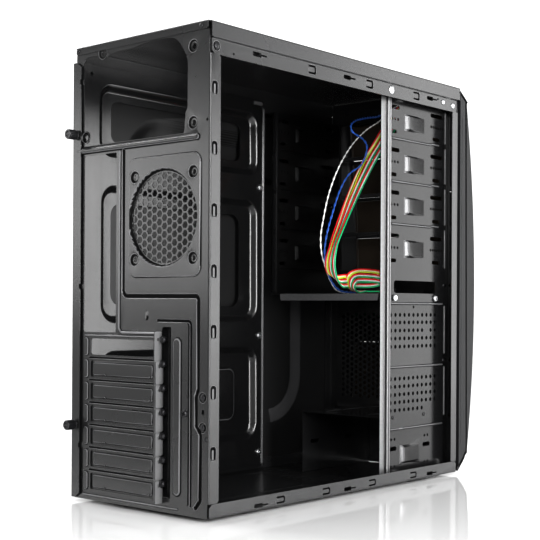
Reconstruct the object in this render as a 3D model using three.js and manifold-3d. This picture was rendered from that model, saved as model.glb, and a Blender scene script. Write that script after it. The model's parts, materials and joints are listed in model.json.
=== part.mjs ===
// Mid-tower steel computer case, opened on its left side. Millimetres, +Z up.
//
// Case coordinates used below: u runs across the case from the open side to the
// closed side, w runs from the rear face towards the front, v runs up from the
// underside of the steel shell. The rows' own frame is X = u - U_MID, Y = W_MID - w,
// Z = v + FOOT, so the rear faces +Y, the front -Y and the open side -X.
import * as THREE from "three";
import { mergeVertices } from "three/addons/utils/BufferGeometryUtils.js";
import { ConvexGeometry } from "three/addons/geometries/ConvexGeometry.js";
import Module from "manifold-3d";

// ---- driving dimensions ----------------------------------------------------
const T = 1; // sheet thickness
const GAP = 0.3; // between touching pieces
const WIDTH = 171.3; // steel shell, across
const DEPTH = 386; // steel shell, rear face to front edge
const HEIGHT = 412; // steel shell, without feet
const FOOT = 3; // height of the rubber feet
const U_MID = 87.9;
const W_MID = 203.9;
const FRONT_WALL_W = 381.6;
const TRAY_U = 163.2;
const CAGE_LEFT_U = 12;
const CAGE_RIGHT_U = 159;
const SHELF_V = 189;
const BAY_PITCH = 43.4;
const BAY_BOTTOM = [346.5, 303.1, 259.7, 216.3];
const SLOT_V = [139, 118.9, 98.6, 78.3, 58, 37.6, 17.3]; // expansion slots, 20.32 mm apart
const SCREW_V = [147.1, 126.4, 105.7, 85.4, 65, 44.6, 24.3];
const LEDGE_U = 56; // outward ledge that the slot covers are screwed to
const LEDGE_H = 8.5;
const BEZEL_W = 387; // back edge of the plastic front
const BEZEL_T = 2.6;
const PANEL_V = 180; // middle line of the front controls
const PANEL_TRAVEL = 2;

// ---- solids ----------------------------------------------------------------
const wasm = await Module();
wasm.setup();

const X = (u) => u - U_MID;
const Y = (w) => W_MID - w;
const Z = (v) => v + FOOT;

function solid(geometry) {
  const g = geometry.clone();
  g.deleteAttribute("normal");
  g.deleteAttribute("uv");
  const m = mergeVertices(g, 1e-4);
  return new wasm.Manifold(
    new wasm.Mesh({
      numProp: 3,
      vertProperties: m.attributes.position.array,
      triVerts: new Uint32Array(m.index.array),
    }),
  );
}

const join = (...all) => all.flat().reduce((a, b) => a.add(b));
const cut = (a, ...all) => all.flat().reduce((m, b) => m.subtract(b), a);

function box(u0, u1, w0, w1, v0, v1) {
  const g = new THREE.BoxGeometry(u1 - u0, w1 - w0, v1 - v0);
  g.translate(X((u0 + u1) / 2), Y((w0 + w1) / 2), Z((v0 + v1) / 2));
  return solid(g);
}

// A cylinder or cone frustum along one case axis, from a to b.
function rod(axis, p, q, a, b, r, r2 = r, seg = 20) {
  const g = new THREE.CylinderGeometry(r2, r, b - a, seg);
  if (axis === "v") {
    g.rotateX(Math.PI / 2);
    g.translate(X(p), Y(q), Z((a + b) / 2));
  } else if (axis === "w") {
    g.rotateX(Math.PI);
    g.translate(X(p), Y((a + b) / 2), Z(q));
  } else {
    g.rotateZ(-Math.PI / 2);
    g.translate(X((a + b) / 2), Y(p), Z(q));
  }
  return solid(g);
}

function shapeOf(points) {
  return new THREE.Shape(points.map(([a, b]) => new THREE.Vector2(a, b)));
}

const flat = (depth) => ({ depth, bevelEnabled: false, steps: 1, curveSegments: 4 });

// Outline in (u, v), from w0 to w1.
function prismW(points, w0, w1) {
  const g = new THREE.ExtrudeGeometry(
    shapeOf(points.map(([u, v]) => [X(u), Z(v)])),
    flat(w1 - w0),
  );
  g.rotateX(Math.PI / 2);
  g.translate(0, Y(w0), 0);
  return solid(g);
}

// Outline in (w, v), from u0 to u1.
function prismU(points, u0, u1) {
  const g = new THREE.ExtrudeGeometry(
    shapeOf(points.map(([w, v]) => [Y(w), Z(v)])),
    flat(u1 - u0),
  );
  g.applyMatrix4(new THREE.Matrix4().set(0, 0, 1, 0, 1, 0, 0, 0, 0, 1, 0, 0, 0, 0, 0, 1));
  g.translate(X(u0), 0, 0);
  return solid(g);
}

// A rectangle with rounded corners, as points, anticlockwise.
function rounded(a0, a1, b0, b1, r, seg = 4) {
  const out = [];
  for (const [ca, cb, start] of [
    [a1 - r, b0 + r, -90],
    [a1 - r, b1 - r, 0],
    [a0 + r, b1 - r, 90],
    [a0 + r, b0 + r, 180],
  ])
    for (let i = 0; i <= seg; i++) {
      const t = ((start + (90 * i) / seg) * Math.PI) / 180;
      out.push([ca + r * Math.cos(t), cb + r * Math.sin(t)]);
    }
  return out;
}

// The convex solid between two outlines in (w, v), at u0 and u1.
function taperU(low, u0, high, u1) {
  return solid(
    new ConvexGeometry([
      ...low.map(([w, v]) => new THREE.Vector3(X(u0), Y(w), Z(v))),
      ...high.map(([w, v]) => new THREE.Vector3(X(u1), Y(w), Z(v))),
    ]),
  );
}

function tube(points, section, steps) {
  const curve = new THREE.CatmullRomCurve3(
    points.map(([u, w, v]) => new THREE.Vector3(X(u), Y(w), Z(v))),
    false,
    "centripetal",
  );
  return solid(
    new THREE.ExtrudeGeometry(shapeOf(section), {
      steps,
      bevelEnabled: false,
      extrudePath: curve,
    }),
  );
}

function circle(r, n = 8) {
  return Array.from({ length: n }, (_, i) => [
    r * Math.cos((2 * Math.PI * i) / n),
    r * Math.sin((2 * Math.PI * i) / n),
  ]);
}

const paint = {
  steel: [0x17181a, 0.42, 0.55],
  inner: [0x1c1d1f, 0.5, 0.5],
  plastic: [0x1d1e20, 0.5, 0.0],
  mesh: [0x2a2622, 0.45, 0.6],
  zinc: [0xb9bbbd, 0.32, 0.95],
  blackSteel: [0x101113, 0.35, 0.7],
  rubber: [0x0c0c0d, 0.85, 0.0],
  lens: [0x9fd7c0, 0.2, 0.0],
  board: [0x1f5a33, 0.5, 0.1],
  nickel: [0xc8cacb, 0.25, 0.95],
  jack: [0x151516, 0.4, 0.0],
  ribbon: [0xa8482c, 0.5, 0.0],
  white: [0xd9d9d4, 0.5, 0.0],
  blue: [0x2a4fa8, 0.5, 0.0],
};
const materials = Object.fromEntries(
  Object.entries(paint).map(([k, [color, roughness, metalness]]) => [
    k,
    new THREE.MeshStandardMaterial({ color, roughness, metalness }),
  ]),
);

const tower = new THREE.Group();
tower.name = "computer_tower";
let into = tower;
function group(name) {
  into = new THREE.Group();
  into.name = name;
  tower.add(into);
}
function piece(name, manifold, material) {
  const m = manifold.getMesh();
  const n = m.numProp;
  const at = new Float32Array((m.vertProperties.length / n) * 3);
  for (let i = 0; i < at.length / 3; i++)
    at.set(m.vertProperties.subarray(i * n, i * n + 3), i * 3);
  const g = new THREE.BufferGeometry();
  g.setAttribute("position", new THREE.BufferAttribute(at, 3));
  g.setIndex(new THREE.BufferAttribute(m.triVerts, 1));
  g.computeVertexNormals();
  const mesh = new THREE.Mesh(g, materials[material]);
  mesh.name = name;
  into.add(mesh);
}

// ---- steel chassis ---------------------------------------------------------
group("chassis");

const RAIL = 12; // height of the bottom rail, and depth of the rear post
piece(
  "chassis_floor",
  join(
    box(0, WIDTH, T + GAP, FRONT_WALL_W - GAP, 0, T),
    box(0, T, T + GAP, FRONT_WALL_W - GAP, 0, RAIL),
    box(WIDTH - T, WIDTH, T + GAP, FRONT_WALL_W - GAP, 0, RAIL),
  ),
  "steel",
);

const SKIRT_V = 399; // lower edge of the cover's skirt; the joggled rail is below it
const RAIL_V = 385;
piece(
  "top_cover",
  cut(
    join(
      box(0, WIDTH, -1.3, DEPTH, HEIGHT - T, HEIGHT),
      box(0, T, -1.3, DEPTH, SKIRT_V - T, HEIGHT),
      box(0, 2.7, 3, 381, SKIRT_V - T, SKIRT_V),
      box(1.7, 2.7, 3, 381, RAIL_V, SKIRT_V),
      box(WIDTH - T, WIDTH, T + GAP, DEPTH, SKIRT_V, HEIGHT),
      box(3, WIDTH, -1.3, -0.3, 405, HEIGHT),
    ),
    box(-1, 4, -2, 1.3, SKIRT_V - 2, 404.7),
    [63, 192, 334].map((w) => box(1, 4, w - 9.3, w + 9.3, 390, 396)),
  ),
  "steel",
);

const psuCut = [
  [160, 321], [160, 397], [158.5, 400.3], [155, 401.7], [94.3, 401.7], [80, 403.9], [67, 404.6],
  [43, 403.5], [37, 399], [31.4, 392], [27.9, 386], [26.4, 381], [26.4, 343], [28.6, 340],
  [30, 324], [31.5, 321],
];
piece(
  "rear_panel",
  cut(
    join(
      box(T + 0.2, WIDTH, 0, T, 0, 404.7),
      box(4, WIDTH - T - GAP, 0, T, 404, 410.7),
      box(0, T, 0, 12.5, RAIL + GAP, RAIL_V - GAP),
      box(0, T + 1, 0, T, RAIL + GAP, RAIL_V - GAP),
      box(WIDTH - T, WIDTH, 0, 10, RAIL + GAP, RAIL_V - GAP),
      // fold fillets inside the two flanges
      rod("v", T, T, RAIL + GAP, RAIL_V - GAP, 0.8, 0.8, 4),
      rod("v", WIDTH - T, T, RAIL + GAP, RAIL_V - GAP, 0.8, 0.8, 4),
      box(LEDGE_U, LEDGE_U + T, -LEDGE_H, T, 9, 154),
    ),
    prismW(psuCut, -1, 2),
    box(115, 159.3, -1, 2, 152.1, 312.1),
    SLOT_V.map((v) => box(65, 151, -1, 2, v - 6, v + 6)),
    box(43.6, 55.7, -1, 2, 12, 158),
    rod("w", 168, 332, -1, 2, 2.5, 2.5, 12),
    rod("w", 168, 67, -1, 2, 2.5, 2.5, 12),
    rod("w", 28.6, 85.7, -1, 2, 1.6, 1.6, 12),
  ).add(
    // studs of the power supply opening's screw bosses
    join(
      cut(rod("w", 134.3, 403.1, 0, T, 7, 7, 20), rod("w", 134.3, 403.1, -1, 2, 2, 2, 12)),
      cut(rod("w", 157.5, 329, 0, T, 5.7, 5.7, 20), rod("w", 157.5, 329, -1, 2, 2, 2, 12)),
    ),
  ),
  "steel",
);

const bayOpenings = BAY_BOTTOM.map((b, i) =>
  box(15, 158, FRONT_WALL_W - 1, FRONT_WALL_W + 2, b + 2, b + (i ? 41 : 39)),
);
const CABLE_HOLE = [48, 92, 389, 404.5]; // where the front leads pass the wall
piece(
  "front_wall",
  cut(
    join(
      box(0, WIDTH, FRONT_WALL_W, FRONT_WALL_W + T, RAIL + GAP, RAIL_V - GAP),
      box(3.2, WIDTH - T - GAP, FRONT_WALL_W, FRONT_WALL_W + T, T + GAP, HEIGHT - T - GAP),
      box(0, T, 371, FRONT_WALL_W + T, RAIL + GAP, RAIL_V - GAP),
      box(WIDTH - T, WIDTH, 371, FRONT_WALL_W + T, RAIL + GAP, RAIL_V - GAP),
    ),
    bayOpenings,
    box(CABLE_HOLE[0], CABLE_HOLE[1], FRONT_WALL_W - 1, FRONT_WALL_W + 2, CABLE_HOLE[2], CABLE_HOLE[3]),
    prismW(rounded(45, 155, 72, 172, 12), FRONT_WALL_W - 1, FRONT_WALL_W + 2),
  ),
  "inner",
);

// The board tray, with two large cut-outs inside pressed-out fields and a third field below.
function field(w0, w1, v0, v1, deep, slope, r) {
  const outer = rounded(w0, w1, v0, v1, r, 4);
  const inner = rounded(w0 + slope, w1 - slope, v0 + slope, v1 - slope, Math.max(4, r - slope * 0.6), 4);
  const k = slope / deep;
  const grow = rounded(w0 - k * T, w1 + k * T, v0 - k * T, v1 + k * T, r + k * T, 4);
  const shrunk = rounded(w0 + slope, w1 - slope, v0 + slope, v1 - slope, Math.max(4, r - slope * 0.6), 4);
  return {
    add: (u) => taperU(outer, u + T, inner, u + deep + T),
    sub: (u) => taperU(grow, u - T, shrunk, u + deep),
  };
}
const fields = [
  field(21, 243, 315, 384, 5.5, 13, 25),
  field(23.6, 244, 159, 290, 5.5, 13, 25),
  field(23, 244, 34, 134, 5.5, 13, 25),
];
piece(
  "motherboard_tray",
  cut(
    join(
      cut(
        join(box(TRAY_U, TRAY_U + T, 1.6, 254, 4, 398), fields.map((f) => f.add(TRAY_U))),
        fields.map((f) => f.sub(TRAY_U)),
      ),
      box(TRAY_U, TRAY_U + 6, 253, 254, 4, 398),
      box(TRAY_U, TRAY_U + 6, 6, 254, 4, 5),
    ),
    prismU(rounded(40, 221, 330, 369, 8), TRAY_U - 2, TRAY_U + 9),
    prismU(rounded(40, 220, 176, 273, 12), TRAY_U - 2, TRAY_U + 9),
  ),
  "inner",
);

// Drive cage: two side walls, a shelf under the big bays, and a narrow lower cage.
function baySlots(u, rear, rear2, front, front2) {
  return BAY_BOTTOM.flatMap((b) => [
    box(u - 1, u + 2, rear[0], rear[1], b + 30.8, b + 34.2),
    box(u - 1, u + 2, rear2[0], rear2[1], b + 6.1, b + 9.5),
    box(u - 1, u + 2, front[0], front[1], b + 30.8, b + 34.2),
    box(u - 1, u + 2, front2[0], front2[1], b + 6.1, b + 9.5),
  ]);
}
piece(
  "cage_wall_left",
  cut(
    join(
      box(CAGE_LEFT_U, CAGE_LEFT_U + T, 258, 381, 9, 387),
      box(CAGE_LEFT_U - 3, CAGE_LEFT_U + T, 266, 267.2, 9, 387),
      BAY_BOTTOM.map((b) =>
        taperU(
          [[299, b + 10.5], [335, b + 12], [335, b + 26], [299, b + 27.5]],
          CAGE_LEFT_U + 0.5,
          [[307, b + 12.5], [309, b + 12.5], [309, b + 25.5], [307, b + 25.5]],
          CAGE_LEFT_U - 2.6,
        ),
      ),
    ),
    baySlots(CAGE_LEFT_U, [274, 290], [275, 285], [347, 370], [351, 365]),
    prismU(rounded(281.4, 358, 190.6, 203.6, 5.5), CAGE_LEFT_U - 1, CAGE_LEFT_U + 2),
    [275, 335].flatMap((w) => [box(CAGE_LEFT_U - 1, CAGE_LEFT_U + 2, w, w + 13, 30.4, 35)]),
  ),
  "inner",
);
piece(
  "cage_wall_right",
  cut(
    box(CAGE_RIGHT_U, CAGE_RIGHT_U + T, 262, 381, SHELF_V + T + GAP, 387),
    baySlots(CAGE_RIGHT_U, [266, 289], [269, 283], [347, 370], [351, 365]),
  ),
  "inner",
);
piece(
  "cage_floor",
  join(
    box(CAGE_LEFT_U + T + GAP, CAGE_RIGHT_U + T, 256, 381, SHELF_V, SHELF_V + T),
    box(CAGE_LEFT_U + T + GAP, 142, 256, 257, 182.6, SHELF_V + T),
  ),
  "inner",
);
piece(
  "hdd_cage",
  cut(
    join(
      box(CAGE_LEFT_U + T + GAP, 115, 259, 381, 65, 66),
      box(114, 115, 262, 381, T + GAP, 66),
    ),
    [275, 335].map((w) => box(113, 116, w, w + 13, 30.4, 35)),
  ),
  "inner",
);

// ---- expansion slots -------------------------------------------------------
group("expansion");
SLOT_V.slice(1).forEach((v, i) =>
  piece(
    `slot_cover_${i + 2}`,
    join(
      box(54.4, 157, T + GAP, T + GAP + 0.9, v - 9.4, v + 9.4),
      box(54.4, 55.3, -7.6, T + GAP + 0.9, v - 2, v + 9.4),
    ),
    "steel",
  ),
);
SCREW_V.forEach((v, i) =>
  piece(
    `slot_screw_${i + 1}`,
    cut(
      join(rod("u", -4.2, v, 51.6, i ? 54.1 : 55.7, 3.4, 3.4, 12)),
      box(50, 52.5, -4.7, -3.7, v - 2.4, v + 2.4),
      box(50, 52.5, -6.6, -1.8, v - 0.5, v + 0.5),
    ),
    "blackSteel",
  ),
);
piece(
  "slot_retention_cover",
  cut(
    join(
      prismW(rounded(22.9, 43.4, 8.6, 161.4, 3), -1.3, -0.3),
      prismW(rounded(30, 41, 15, 150, 5), -2.8, -0.8),
    ),
    prismW(rounded(31.5, 39.5, 16.5, 148.5, 4), -1.6, 0),
    rod("w", 26.4, 85.7, -4, 1, 2, 2, 12),
  ),
  "steel",
);
piece("retention_screw", rod("w", 26.4, 85.7, -3.3, -1.6, 2.8, 3.2, 14), "blackSteel");

// ---- closed side panel and its thumbscrews ---------------------------------
group("side_panel");
{
  const outer = rounded(58, 314, 52, 362, 18, 4);
  const inner = rounded(76, 296, 70, 344, 12, 4);
  const grow = rounded(52, 320, 46, 368, 24, 4);
  piece(
    "side_panel_right",
    cut(
      join(
        cut(
          join(
            box(171.8, 172.8, -2.3, 385, 0.6, 398.2),
            taperU(outer, 172.3, inner, 175.8),
          ),
          taperU(grow, 170.8, inner, 174.8),
        ),
        box(161.5, 172.8, -2.3, -1.3, 0.6, 398.2),
      ),
      rod("w", 168, 332, -4, 1, 2.5, 2.5, 12),
      rod("w", 168, 67, -4, 1, 2.5, 2.5, 12),
    ),
    "steel",
  );
}
for (const [name, v] of [["thumbscrew_upper", 332], ["thumbscrew_lower", 67]])
  piece(
    name,
    join(
      rod("w", 168, v, -12.5, -2.9, 4.5, 4.3, 24),
      rod("w", 168, v, -3, 4, 1.9, 1.9, 12),
    ),
    "blackSteel",
  );

// ---- plastic front ---------------------------------------------------------
group("front");
// Depth of the front's outer face at height v.
const face = (v) => 419.4 - 16 * ((v - 196) / 192) ** 2;
function profile(inset) {
  const out = [[BEZEL_W, 0.6 + inset], [BEZEL_W, 410.8 - inset]];
  out.push([403.6 - inset * 0.8, 399.2 - inset]);
  for (let i = 1; i < 14; i++) {
    const v = 399.2 + (15 - 399.2) * (i / 14);
    out.push([face(v) - inset, v]);
  }
  out.push([401.2 - inset * 0.8, 14 + inset]);
  return out;
}
const wall = (v0, v1) => box(13, 159.8, 392, 430, v0, v1);
const CONTROLS = { power: 104, reset: 141, ledA: 122, ledB: 129.5, usb: [30, 50], jack: [67, 79] };
const GRILLE = [20, 136];
piece(
  "front_bezel",
  cut(
    prismU(profile(0), 0, 172.8),
    prismU([...profile(BEZEL_T)].map(([w, v]) => [w === BEZEL_W ? BEZEL_W - 5 : w, v]), BEZEL_T, 172.8 - BEZEL_T),
    BAY_BOTTOM.map((b) => wall(b + 1.2, b + 41)),
    wall(GRILLE[0], GRILLE[1]),
    rod("w", CONTROLS.power, PANEL_V, 400, 430, 9.4, 9.4, 32),
    rod("w", CONTROLS.reset, PANEL_V, 400, 430, 3.9, 3.9, 20),
    rod("w", CONTROLS.ledA, PANEL_V, 400, 430, 2.2, 2.2, 16),
    rod("w", CONTROLS.ledB, PANEL_V, 400, 430, 2.2, 2.2, 16),
    CONTROLS.usb.map((u) => box(u - 7.2, u + 7.2, 400, 430, PANEL_V - 3.5, PANEL_V + 3.5)),
    CONTROLS.jack.map((u) => rod("w", u, PANEL_V, 400, 430, 3.9, 3.9, 20)),
  ).add(
    join(
      // bosses that carry the control board
      rod("w", 20, 169, 401.2, 418, 2.6, 2.6, 12),
      rod("w", 151, 169, 401.2, 418, 2.6, 2.6, 12),
    ),
  ),
  "plastic",
);

// Covers of the four drive openings: a curved slab that follows the face, set back a little.
BAY_BOTTOM.forEach((b, i) => {
  const v0 = b + 1.6;
  const v1 = b + 40.6;
  const out = [];
  for (let k = 0; k <= 4; k++) {
    const v = v0 + ((v1 - v0) * k) / 4;
    out.push([face(v) - 1.2, v]);
  }
  for (let k = 4; k >= 0; k--) {
    const v = v0 + ((v1 - v0) * k) / 4;
    out.push([face(v) - 4.2, v]);
  }
  piece(`bay_cover_${i + 1}`, prismU(out, 13.4, 159.4), "mesh");
});
{
  const out = [];
  const back = [];
  for (let k = 0; k <= 5; k++) {
    const v = GRILLE[0] + 0.4 + ((GRILLE[1] - GRILLE[0] - 0.8) * k) / 5;
    out.push([face(v) - 1.2, v]);
    back.unshift([face(v) - 3.4, v]);
  }
  piece("front_grille", prismU([...out, ...back], 13.4, 159.4), "mesh");
}

const BOARD_W = 399;
piece(
  "power_button",
  join(
    rod("w", CONTROLS.power, PANEL_V, 404.6, 420.4, 9, 9, 32),
    rod("w", CONTROLS.power, PANEL_V, 411.6, 414, 10.6, 10.6, 32),
  ),
  "plastic",
);
piece(
  "reset_button",
  join(
    rod("w", CONTROLS.reset, PANEL_V, 404.6, 420, 3.5, 3.5, 20),
    rod("w", CONTROLS.reset, PANEL_V, 411.6, 414, 5, 5, 20),
  ),
  "plastic",
);
piece("power_led_lens", rod("w", CONTROLS.ledA, PANEL_V, 401, 419.8, 1.9, 1.9, 16), "lens");
piece("drive_led_lens", rod("w", CONTROLS.ledB, PANEL_V, 401, 419.8, 1.9, 1.9, 16), "lens");
piece(
  "control_board",
  join(
    box(15, 156, BOARD_W, BOARD_W + 1.6, 165, 195),
    box(51.5, 84, 390, BOARD_W + 0.5, 184, 195),
    box(CONTROLS.power - 3, CONTROLS.power + 3, BOARD_W, 402.2, PANEL_V - 3, PANEL_V + 3),
    box(CONTROLS.reset - 3, CONTROLS.reset + 3, BOARD_W, 402.6, PANEL_V - 3, PANEL_V + 3),
  ),
  "board",
);
CONTROLS.usb.forEach((u, i) =>
  piece(
    `usb_socket_${i + 1}`,
    join(
      cut(
        box(u - 6.7, u + 6.7, 401, 419.2, PANEL_V - 2.9, PANEL_V + 2.9),
        box(u - 6.2, u + 6.2, 404, 421, PANEL_V - 2.4, PANEL_V + 2.4),
      ),
      box(u - 5.2, u + 5.2, 403, 417.6, PANEL_V + 0.1, PANEL_V + 1.8),
    ),
    "nickel",
  ),
);
CONTROLS.jack.forEach((u, i) =>
  piece(
    `audio_jack_${i + 1}`,
    cut(
      join(
        box(u - 4.5, u + 4.5, 401, 413.6, PANEL_V - 4.5, PANEL_V + 4.5),
        rod("w", u, PANEL_V, 413, 419.4, 3.5, 3.5, 20),
      ),
      rod("w", u, PANEL_V, 404, 421, 1.8, 1.8, 16),
    ),
    "jack",
  ),
);

// ---- feet and visible screws -----------------------------------------------
group("fasteners_and_feet");
[[26, 40], [146, 40], [26, 345], [146, 345]].forEach(([u, w], i) =>
  piece(`foot_${i + 1}`, rod("v", u, w, -FOOT, -GAP, 8.5, 10, 24), "rubber"),
);
[[246.5, 304], [246, 145], [246, 20]].forEach(([w, v], i) =>
  piece(`tray_screw_${i + 1}`, rod("u", w, v, 160.9, TRAY_U - GAP, 2.6, 3.4, 14), "zinc"),
);
[[282, 185.7], [356.4, 185.7]].forEach(([w, v], i) =>
  piece(`cage_screw_${i + 1}`, rod("u", w, v, 9.7, CAGE_LEFT_U - GAP, 2.6, 3.4, 14), "zinc"),
);

// ---- front leads -----------------------------------------------------------
// They leave the header on the control board, climb behind the front, pass the wall's
// cable hole and hang in a long curve down to the shelf of the drive cage.
group("front_leads");
const RIBBON_W = 15;
const ribbonPath = [
  [392.5, 195.4], [392.5, 240], [392.5, 300], [392.5, 350], [392.2, 375], [390, 390], [383.5, 398],
  [373, 397.3], [358, 387.5], [340, 369.5], [321.2, 349.5], [306.8, 334], [289.3, 311.5],
  [272.3, 286.5], [256, 260], [243.5, 238], [238.2, 221], [240.5, 209], [248, 201.5], [258, 197.8],
  [269, 196.6],
].map(([w, v]) => [60, w, v]);
const whitePath = [
  [74, 391.5, 195.4], [74, 391.5, 260], [74, 391.5, 330], [74, 391.2, 374], [74, 389.5, 390],
  [74, 382.5, 399.6], [74, 371, 397.6], [74, 357, 389], [74, 340.5, 377.9], [74, 316.7, 365.5],
  [74, 290.3, 345.5], [74, 268.1, 319.5], [74, 253.2, 293], [74, 244.6, 268], [74, 239.8, 247],
  [74, 241.5, 231], [74, 248.5, 216], [75, 257.5, 203.5], [76.5, 268, 194.6], [77.6, 281, 191.7],
  [78, 296, 191.5],
];
const bluePath = [
  [80, 391.5, 195.4], [80, 391.5, 260], [80, 391.5, 330], [80, 391.2, 374], [80, 389.5, 389],
  [80, 382.5, 397.4], [79.6, 368, 394], [78.6, 345, 384.5], [77.6, 318, 376], [71, 293, 371],
  [61, 278, 367], [53.5, 275, 361], [50, 280, 352], [50, 284.5, 342], [52.5, 285, 332.5],
  [59, 282.5, 324], [66.5, 277.5, 314.5], [70.7, 268, 298], [70.9, 254.5, 271], [70.9, 245, 247],
  [70.9, 242.5, 230], [70.9, 246.5, 214], [70.9, 256, 201], [70.9, 268, 193.6], [71.3, 282, 191.8],
  [71.7, 296, 191.7],
];
const rw = RIBBON_W / 2;
piece(
  "ribbon_lead",
  tube(
    ribbonPath,
    [[-rw, -0.5], [-rw + 0.5, -0.9], [rw - 0.5, -0.9], [rw, -0.5], [rw, 0.5], [rw - 0.5, 0.9], [-rw + 0.5, 0.9], [-rw, 0.5]].map(
      ([a, b]) => [b, a],
    ),
    44,
  ),
  "ribbon",
);
{
  const r = 13;
  const stadium = [];
  for (let i = 0; i <= 8; i++) {
    const t = Math.PI / 2 + (Math.PI * i) / 8;
    stadium.push([283 + r * Math.cos(t), 203.4 + r * Math.sin(t)]);
  }
  for (let i = 0; i <= 8; i++) {
    const t = -Math.PI / 2 + (Math.PI * i) / 8;
    stadium.push([317 + r * Math.cos(t), 203.4 + r * Math.sin(t)]);
  }
  piece("ribbon_hank", prismU(stadium, 52, 68), "ribbon");
}
piece("ribbon_plug", box(53.4, 66.6, 330.6, 345, 190.4, 196.2), "jack");
piece("white_lead", tube(whitePath, circle(0.9), 30), "white");
piece("white_plug", box(75.3, 80.9, 296.4, 311, 190.3, 193.1), "jack");
piece("blue_lead", tube(bluePath, circle(1.1), 34), "blue");
piece("blue_plug", box(69, 74.6, 296.4, 311, 190.3, 193.1), "jack");

export default tower;
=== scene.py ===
import json
import math

import bmesh
import bpy
import numpy as np
from mathutils import Matrix, Vector
from mathutils.geometry import delaunay_2d_cdt

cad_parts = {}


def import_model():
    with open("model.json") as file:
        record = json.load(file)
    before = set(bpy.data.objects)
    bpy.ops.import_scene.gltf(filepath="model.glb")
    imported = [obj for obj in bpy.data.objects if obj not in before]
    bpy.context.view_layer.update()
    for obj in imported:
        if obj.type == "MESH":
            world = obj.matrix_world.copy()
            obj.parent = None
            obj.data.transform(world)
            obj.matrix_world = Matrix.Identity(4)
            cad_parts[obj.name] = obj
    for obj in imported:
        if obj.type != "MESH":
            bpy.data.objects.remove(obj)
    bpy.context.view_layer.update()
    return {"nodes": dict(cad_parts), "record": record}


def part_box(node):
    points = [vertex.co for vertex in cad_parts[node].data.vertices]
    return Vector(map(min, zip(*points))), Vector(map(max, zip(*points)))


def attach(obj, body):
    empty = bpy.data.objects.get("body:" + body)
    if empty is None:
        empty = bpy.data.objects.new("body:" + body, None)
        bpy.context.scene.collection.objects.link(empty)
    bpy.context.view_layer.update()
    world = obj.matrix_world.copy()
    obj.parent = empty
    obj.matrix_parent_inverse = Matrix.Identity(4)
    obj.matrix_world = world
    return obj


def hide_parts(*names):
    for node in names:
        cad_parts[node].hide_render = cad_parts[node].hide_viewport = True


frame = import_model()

# Case coordinates in millimetres: u across from the open side, w from the rear face
# towards the front, v up from the underside of the steel shell.
U_MID, W_MID, FOOT = 87.9, 203.9, 3.0


def P(u, w, v):
    return Vector(((u - U_MID) / 1000, (W_MID - w) / 1000, (v + FOOT) / 1000))


def to_row(uwv):
    a = np.asarray(uwv, float)
    return np.stack([(a[:, 0] - U_MID), (W_MID - a[:, 1]), (a[:, 2] + FOOT)], 1) / 1000


# ---------------------------------------------------------------- camera and light
cam_data = bpy.data.cameras.new("camera")
cam = bpy.data.objects.new("camera", cam_data)
bpy.context.scene.collection.objects.link(cam)
yaw, roll = math.radians(40.969), math.radians(0.317)
fwd = Vector((math.sin(yaw), -math.cos(yaw), 0))
right = Vector((-math.cos(yaw), -math.sin(yaw), 0))
up = Vector((0, 0, 1))
r2 = math.cos(roll) * right + math.sin(roll) * up
u2 = -math.sin(roll) * right + math.cos(roll) * up
m = Matrix((r2, u2, -fwd)).transposed().to_4x4()
m.translation = P(-662.15, -686.20, 174.58)
cam.matrix_world = m
cam_data.sensor_width = 36
cam_data.lens = 77.18
cam_data.shift_y = 0.0705
cam_data.clip_start, cam_data.clip_end = 0.02, 20
bpy.context.scene.camera = cam


def area(name, loc, target, size, power, size_y=None, color=(1, 1, 1)):
    d = bpy.data.lights.new(name, "AREA")
    d.energy, d.size, d.color = power, size, color
    if size_y:
        d.shape, d.size_y = "RECTANGLE", size_y
    o = bpy.data.objects.new(name, d)
    o.location = loc
    o.rotation_euler = (Vector(target) - Vector(loc)).to_track_quat("-Z", "Y").to_euler()
    bpy.context.scene.collection.objects.link(o)
    return o


world = bpy.data.worlds.new("world")
bpy.context.scene.world = world
world.use_nodes = True
wt = world.node_tree
direction = wt.nodes.new("ShaderNodeTexCoord").outputs["Generated"]
dot = wt.nodes.new("ShaderNodeVectorMath")
dot.operation = "DOT_PRODUCT"
dot.inputs[1].default_value = fwd
wt.links.new(direction, dot.inputs[0])
ramp = wt.nodes.new("ShaderNodeMapRange")
ramp.interpolation_type = "SMOOTHSTEP"
for k, x in (("From Min", 0.35), ("From Max", 0.9), ("To Min", 0.42), ("To Max", 1.3)):
    ramp.inputs[k].default_value = x
wt.links.new(dot.outputs["Value"], ramp.inputs["Value"])
wt.nodes["Background"].inputs[0].default_value = (1, 1, 1, 1)
wt.links.new(ramp.outputs["Result"], wt.nodes["Background"].inputs[1])
bpy.context.scene.view_settings.view_transform = "Standard"
bpy.context.scene.view_settings.gamma = 0.8


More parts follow.
